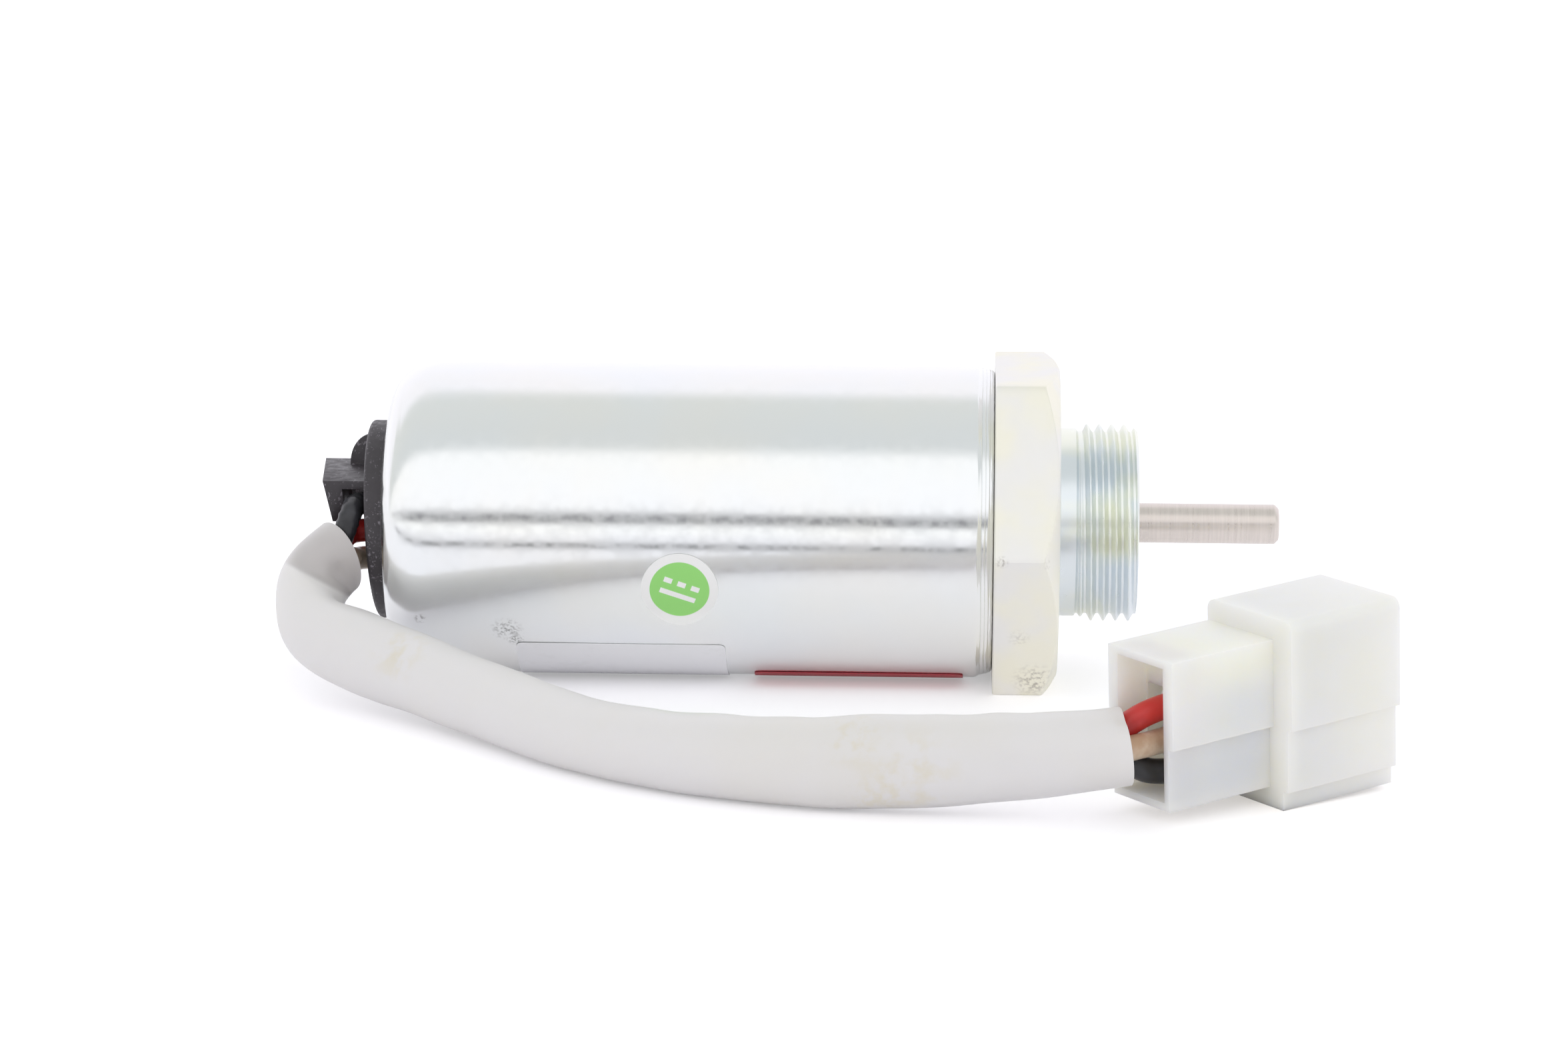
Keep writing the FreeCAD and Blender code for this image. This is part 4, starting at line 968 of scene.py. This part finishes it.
def sleeve_rings(line, shrink):
    """Rings of points along the line, in mm, each shaped by its place."""
    rings = []
    last = len(line) - 1
    for i, point in enumerate(line):
        ahead = (line[min(i + 1, last)] - line[max(i - 1, 0)]).normalized()
        up = (Vector((0, 0, 1)) - ahead * ahead.z).normalized()
        side = ahead.cross(up)
        beyond_fold = share_of(i / last, FOLD_SHARE, FOLD_EASE)
        tall = SLEEVE_R + (height_at(point.x) - SLEEVE_R) * beyond_fold
        deep = SLEEVE_R - NARROWING * (tall - SLEEVE_R)
        on_table = share_of(point.x, TOUCH_DOWN, TOUCH_EASE)
        lifted = point + Vector((0, 0, tall - SLEEVE_R)) * on_table
        ring = []
        for k in range(SLEEVE_SIDES):
            angle = 2 * math.pi * k / SLEEVE_SIDES
            spot = (lifted + up * math.cos(angle) * (tall - shrink)
                    + side * math.sin(angle) * (deep - shrink))
            out = (spot - lifted).normalized()
            slant = MOUTH_REACH * out.dot(MOUTH_UP) + MOUTH_NEAR * max(0.0, -out.y) - MOUTH_BACK
            spot -= ahead * slant * max(0.0, 1.0 - i / MOUTH_RINGS) ** 2
            for centre, reach, depth in SLEEVE_DENTS:
                gap = (spot - Vector(centre)).length / reach
                spot -= out * depth * math.exp(-gap * gap)
            spot += out * noise.noise(spot / RIPPLE_LENGTH) * RIPPLE_DEPTH
            if out.y < 0.0:
                spot.y += fold_step(spot) * min(1.0, -2.0 * out.y)
            spot.z = max(spot.z, 0.02 + shrink)
            ring.append(spot)
        rings.append(ring)
    return rings


def make_sleeve(line):
    rows = sleeve_rings(line, 0.0) + sleeve_rings(line, SLEEVE_WALL)[::-1]
    bm = bmesh.new()
    nets = [[bm.verts.new(spot * MM) for spot in row] for row in rows]
    join_rings(bm, nets + nets[:1])
    return finish_mesh("sleeve_skin", bm, SLEEVE, sharp=60)


sleeve_line, sleeve_length = even_line(nurbs_path("sleeve_route", SLEEVE_ROUTE),
                                       RING_STEP)
heading = (sleeve_line[-1] - sleeve_line[-3]).normalized()
sleeve = make_sleeve(sleeve_line + [sleeve_line[-1] + heading * RING_STEP * k for k in (1, 2)])
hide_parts("wire_sleeve")

# %% [markdown]
# ## The leads
# The black one is kinked where it leaves the hood, so its skin wrinkles there.

# %%
WIRE_R, LEAD_STEP, LEAD_SIDES = 1.4, 0.3, 28
# The wrinkles' middle and reach as shares of the length, their depth in mm, and their number.
KINK_AT, KINK_REACH, KINK_DEPTH, KINK_WAVES = 0.045, 0.022, 0.16, 900.0
# Leads that lie closer to the sleeve's middle than this are drawn closer still, by a share.
BUNDLE_R, BUNDLE_EASE, BUNDLE_SHARE = 3.2, 0.8, 0.2
wire_materials = {"black": BLACK_WIRE, "white": WHITE_WIRE, "red": RED_WIRE}


def plain_lead(along, angle):
    return WIRE_R


def kinked_lead(along, angle):
    """The black lead's radius, wrinkled between its seat and the sleeve's mouth."""
    near = math.exp(-((along - KINK_AT) / KINK_REACH) ** 2)
    wave = 0.5 + 0.5 * math.sin(along * KINK_WAVES + 2.0 * math.sin(angle))
    return WIRE_R - KINK_DEPTH * near * wave


def bundled(line):
    """The line of a lead, drawn closer to its neighbours where it runs in the sleeve."""
    out = []
    for point in line:
        middle = min(sleeve_line[::4], key=lambda q: (q - point).length_squared)
        gap = point - middle
        share = share_of(gap.length, BUNDLE_R, -BUNDLE_EASE)
        out.append(point - gap * BUNDLE_SHARE * share)
    return out


for colour, free_points, place, chamber, angle in LEADS:
    route = lead_route(free_points, place, chamber, angle)
    line, length = even_line(nurbs_path("route_" + colour, route), LEAD_STEP)
    shape = kinked_lead if colour == "black" else plain_lead
    wire = finish_mesh("lead_" + colour, tube(bundled(line), shape, LEAD_SIDES),
                       wire_materials[colour], sharp=60)
    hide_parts("wire_" + colour)

# %% [markdown]
# ## The return spring
# A coil of round wire that fills the length and width of the CAD part's spring.

# %%
SPRING_WIRE_R, SPRING_TURNS, STEPS_A_TURN, STROKE = 0.45, 11, 40, 10.0


def make_return_spring():
    low, high = (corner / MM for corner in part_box("return_spring"))
    left, right = low.x + SPRING_WIRE_R, high.x - SPRING_WIRE_R
    radius = (high.y - low.y) / 2 - SPRING_WIRE_R
    count = SPRING_TURNS * STEPS_A_TURN
    line = []
    for i in range(count + 1):
        turn = 2 * math.pi * SPRING_TURNS * i / count
        line.append(Vector((left + (right - left) * i / count, radius * math.sin(turn),
                            AXIS_Z - radius * math.cos(turn))))
    spring = finish_mesh("return_coil", tube(line, lambda along, angle: SPRING_WIRE_R, 12),
                         new_material("spring_steel", (0.52, 0.52, 0.53), 0.3, 1.0),
                         sharp=60)
    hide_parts("return_spring")
    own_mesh(spring)


make_return_spring()


# %% [markdown]
# ## Table, light and camera
# The light goes round the solenoid's axis. Its stops are shares of half a turn, counted from
# the front horizon, each with its colour. The camera's place and angles come from the photo.

# %%
TABLE_COLOR, TABLE_HALF = (0.96, 0.95, 0.98), 3.0
TABLE_GLOW = (("Is Camera Ray", 0.30), ("Is Glossy Ray", 0.13))
CARD_COLOR, CARD_HALF, CARD_AT = (0.10, 0.10, 0.105), (0.5, 0.032), (0.0, -0.157, 0.0002)
STUDIO_STRENGTH = 1.15
STUDIO = ((0.0, (1.0, 1.0, 1.0)), (0.032, (1.0, 1.0, 1.0)), (0.050, (0.20, 0.20, 0.21)),
          (0.068, (0.22, 0.22, 0.23)), (0.098, (0.95, 0.95, 0.97)), (0.318, (0.95, 0.95, 0.95)),
          (0.372, (0.64, 0.66, 0.66)), (0.60, (0.66, 0.68, 0.67)), (0.68, (0.90, 0.89, 0.93)),
          (1.0, (0.95, 0.94, 1.0)))
CAMERA_AT, CAMERA_ANGLES = (19.67, -550.0, 145.59), (-2.297, 13.0, 0.155)
SENSOR_WIDTH, FOCAL_PIXELS, PHOTO_SIZE = 36.0, 6954.5, (2352, 1568)


def stage_sheet(name, half_x, half_y, centre, material):
    """A level sheet that belongs to the stage, its sizes in metres."""
    bm = bmesh.new()
    bmesh.ops.create_grid(bm, x_segments=1, y_segments=1, size=1.0)
    bmesh.ops.scale(bm, vec=(half_x, half_y, 1.0), verts=bm.verts)
    bmesh.ops.translate(bm, vec=centre, verts=bm.verts)
    mesh = bpy.data.meshes.new(name)
    bm.to_mesh(mesh)
    bm.free()
    mesh.materials.append(material)
    sheet = bpy.data.objects.new(name, mesh)
    bpy.context.scene.collection.objects.link(sheet)
    return sheet


def make_table_white():
    """White paper, with a little glow by the kind of ray that looks at it."""
    material = new_material("table_white", TABLE_COLOR, 0.7)
    tree = material.node_tree
    glow = tree.nodes.new("ShaderNodeEmission")
    glow.inputs["Color"].default_value = (1.0, 1.0, 1.0, 1.0)
    seen = tree.nodes.new("ShaderNodeLightPath")
    shown = 0.0
    for kind, strength in TABLE_GLOW:
        shown = calc(tree, "ADD", shown, calc(tree, "MULTIPLY", seen.outputs[kind], strength))
    tree.links.new(shown, glow.inputs["Strength"])
    both = tree.nodes.new("ShaderNodeAddShader")
    tree.links.new(tree.nodes["Principled BSDF"].outputs[0], both.inputs[0])
    tree.links.new(glow.outputs[0], both.inputs[1])
    tree.links.new(both.outputs[0], tree.nodes["Material Output"].inputs["Surface"])
    return material


def add_front_card():
    """A dark card in front of the part, which shows only in the metal's reflections."""
    card = stage_sheet("front_card", *CARD_HALF, CARD_AT,
                       new_material("card_grey", CARD_COLOR, 0.9))
    card.visible_camera = card.visible_diffuse = card.visible_shadow = False
    card.visible_transmission = False


def add_world():
    """A studio that changes with the angle over the solenoid, from the front horizon up."""
    world = bpy.data.worlds.new("studio")
    bpy.context.scene.world = world
    world.use_nodes = True
    tree = world.node_tree
    split = parts_of(tree, tree.nodes.new("ShaderNodeTexCoord").outputs["Generated"])
    turn = calc(tree, "ARCTAN2", split["Z"], calc(tree, "MULTIPLY", split["Y"], -1.0))
    ramp = tree.nodes.new("ShaderNodeValToRGB")
    ramp.color_ramp.interpolation = "EASE"
    elements = ramp.color_ramp.elements
    while len(elements) > 1:
        elements.remove(elements[-1])
    elements[0].position, elements[0].color = STUDIO[0][0], (*STUDIO[0][1], 1.0)
    for position, color in STUDIO[1:]:
        elements.new(position).color = (*color, 1.0)
    background = tree.nodes["Background"]
    background.inputs["Strength"].default_value = STUDIO_STRENGTH
    tree.links.new(calc(tree, "DIVIDE", turn, math.pi), ramp.inputs["Fac"])
    tree.links.new(ramp.outputs["Color"], background.inputs["Color"])


def add_camera():
    yaw, pitch, roll = (math.radians(v) for v in CAMERA_ANGLES)
    ahead = Vector((math.sin(yaw) * math.cos(pitch), math.cos(yaw) * math.cos(pitch),
                    -math.sin(pitch)))
    level = Vector((math.cos(yaw), -math.sin(yaw), 0.0))
    above = level.cross(ahead)
    right = level * math.cos(roll) + above * math.sin(roll)
    up = right.cross(ahead)
    data = bpy.data.cameras.new("camera")
    data.sensor_fit = "HORIZONTAL"
    data.sensor_width = SENSOR_WIDTH
    data.lens = SENSOR_WIDTH * FOCAL_PIXELS / PHOTO_SIZE[0]
    data.clip_start = 0.01
    camera = bpy.data.objects.new("camera", data)
    bpy.context.scene.collection.objects.link(camera)
    turned = Matrix((right, up, -ahead)).transposed().to_4x4()
    camera.matrix_world = Matrix.Translation(in_metres(CAMERA_AT)) @ turned
    bpy.context.scene.camera = camera


stage_sheet("table_top", TABLE_HALF, TABLE_HALF, (0.0, 0.0, 0.0), make_table_white())
add_front_card()
add_world()
add_camera()
scene = bpy.context.scene
scene.render.engine = "CYCLES"
scene.view_settings.view_transform = "Standard"
scene.render.resolution_x, scene.render.resolution_y = PHOTO_SIZE
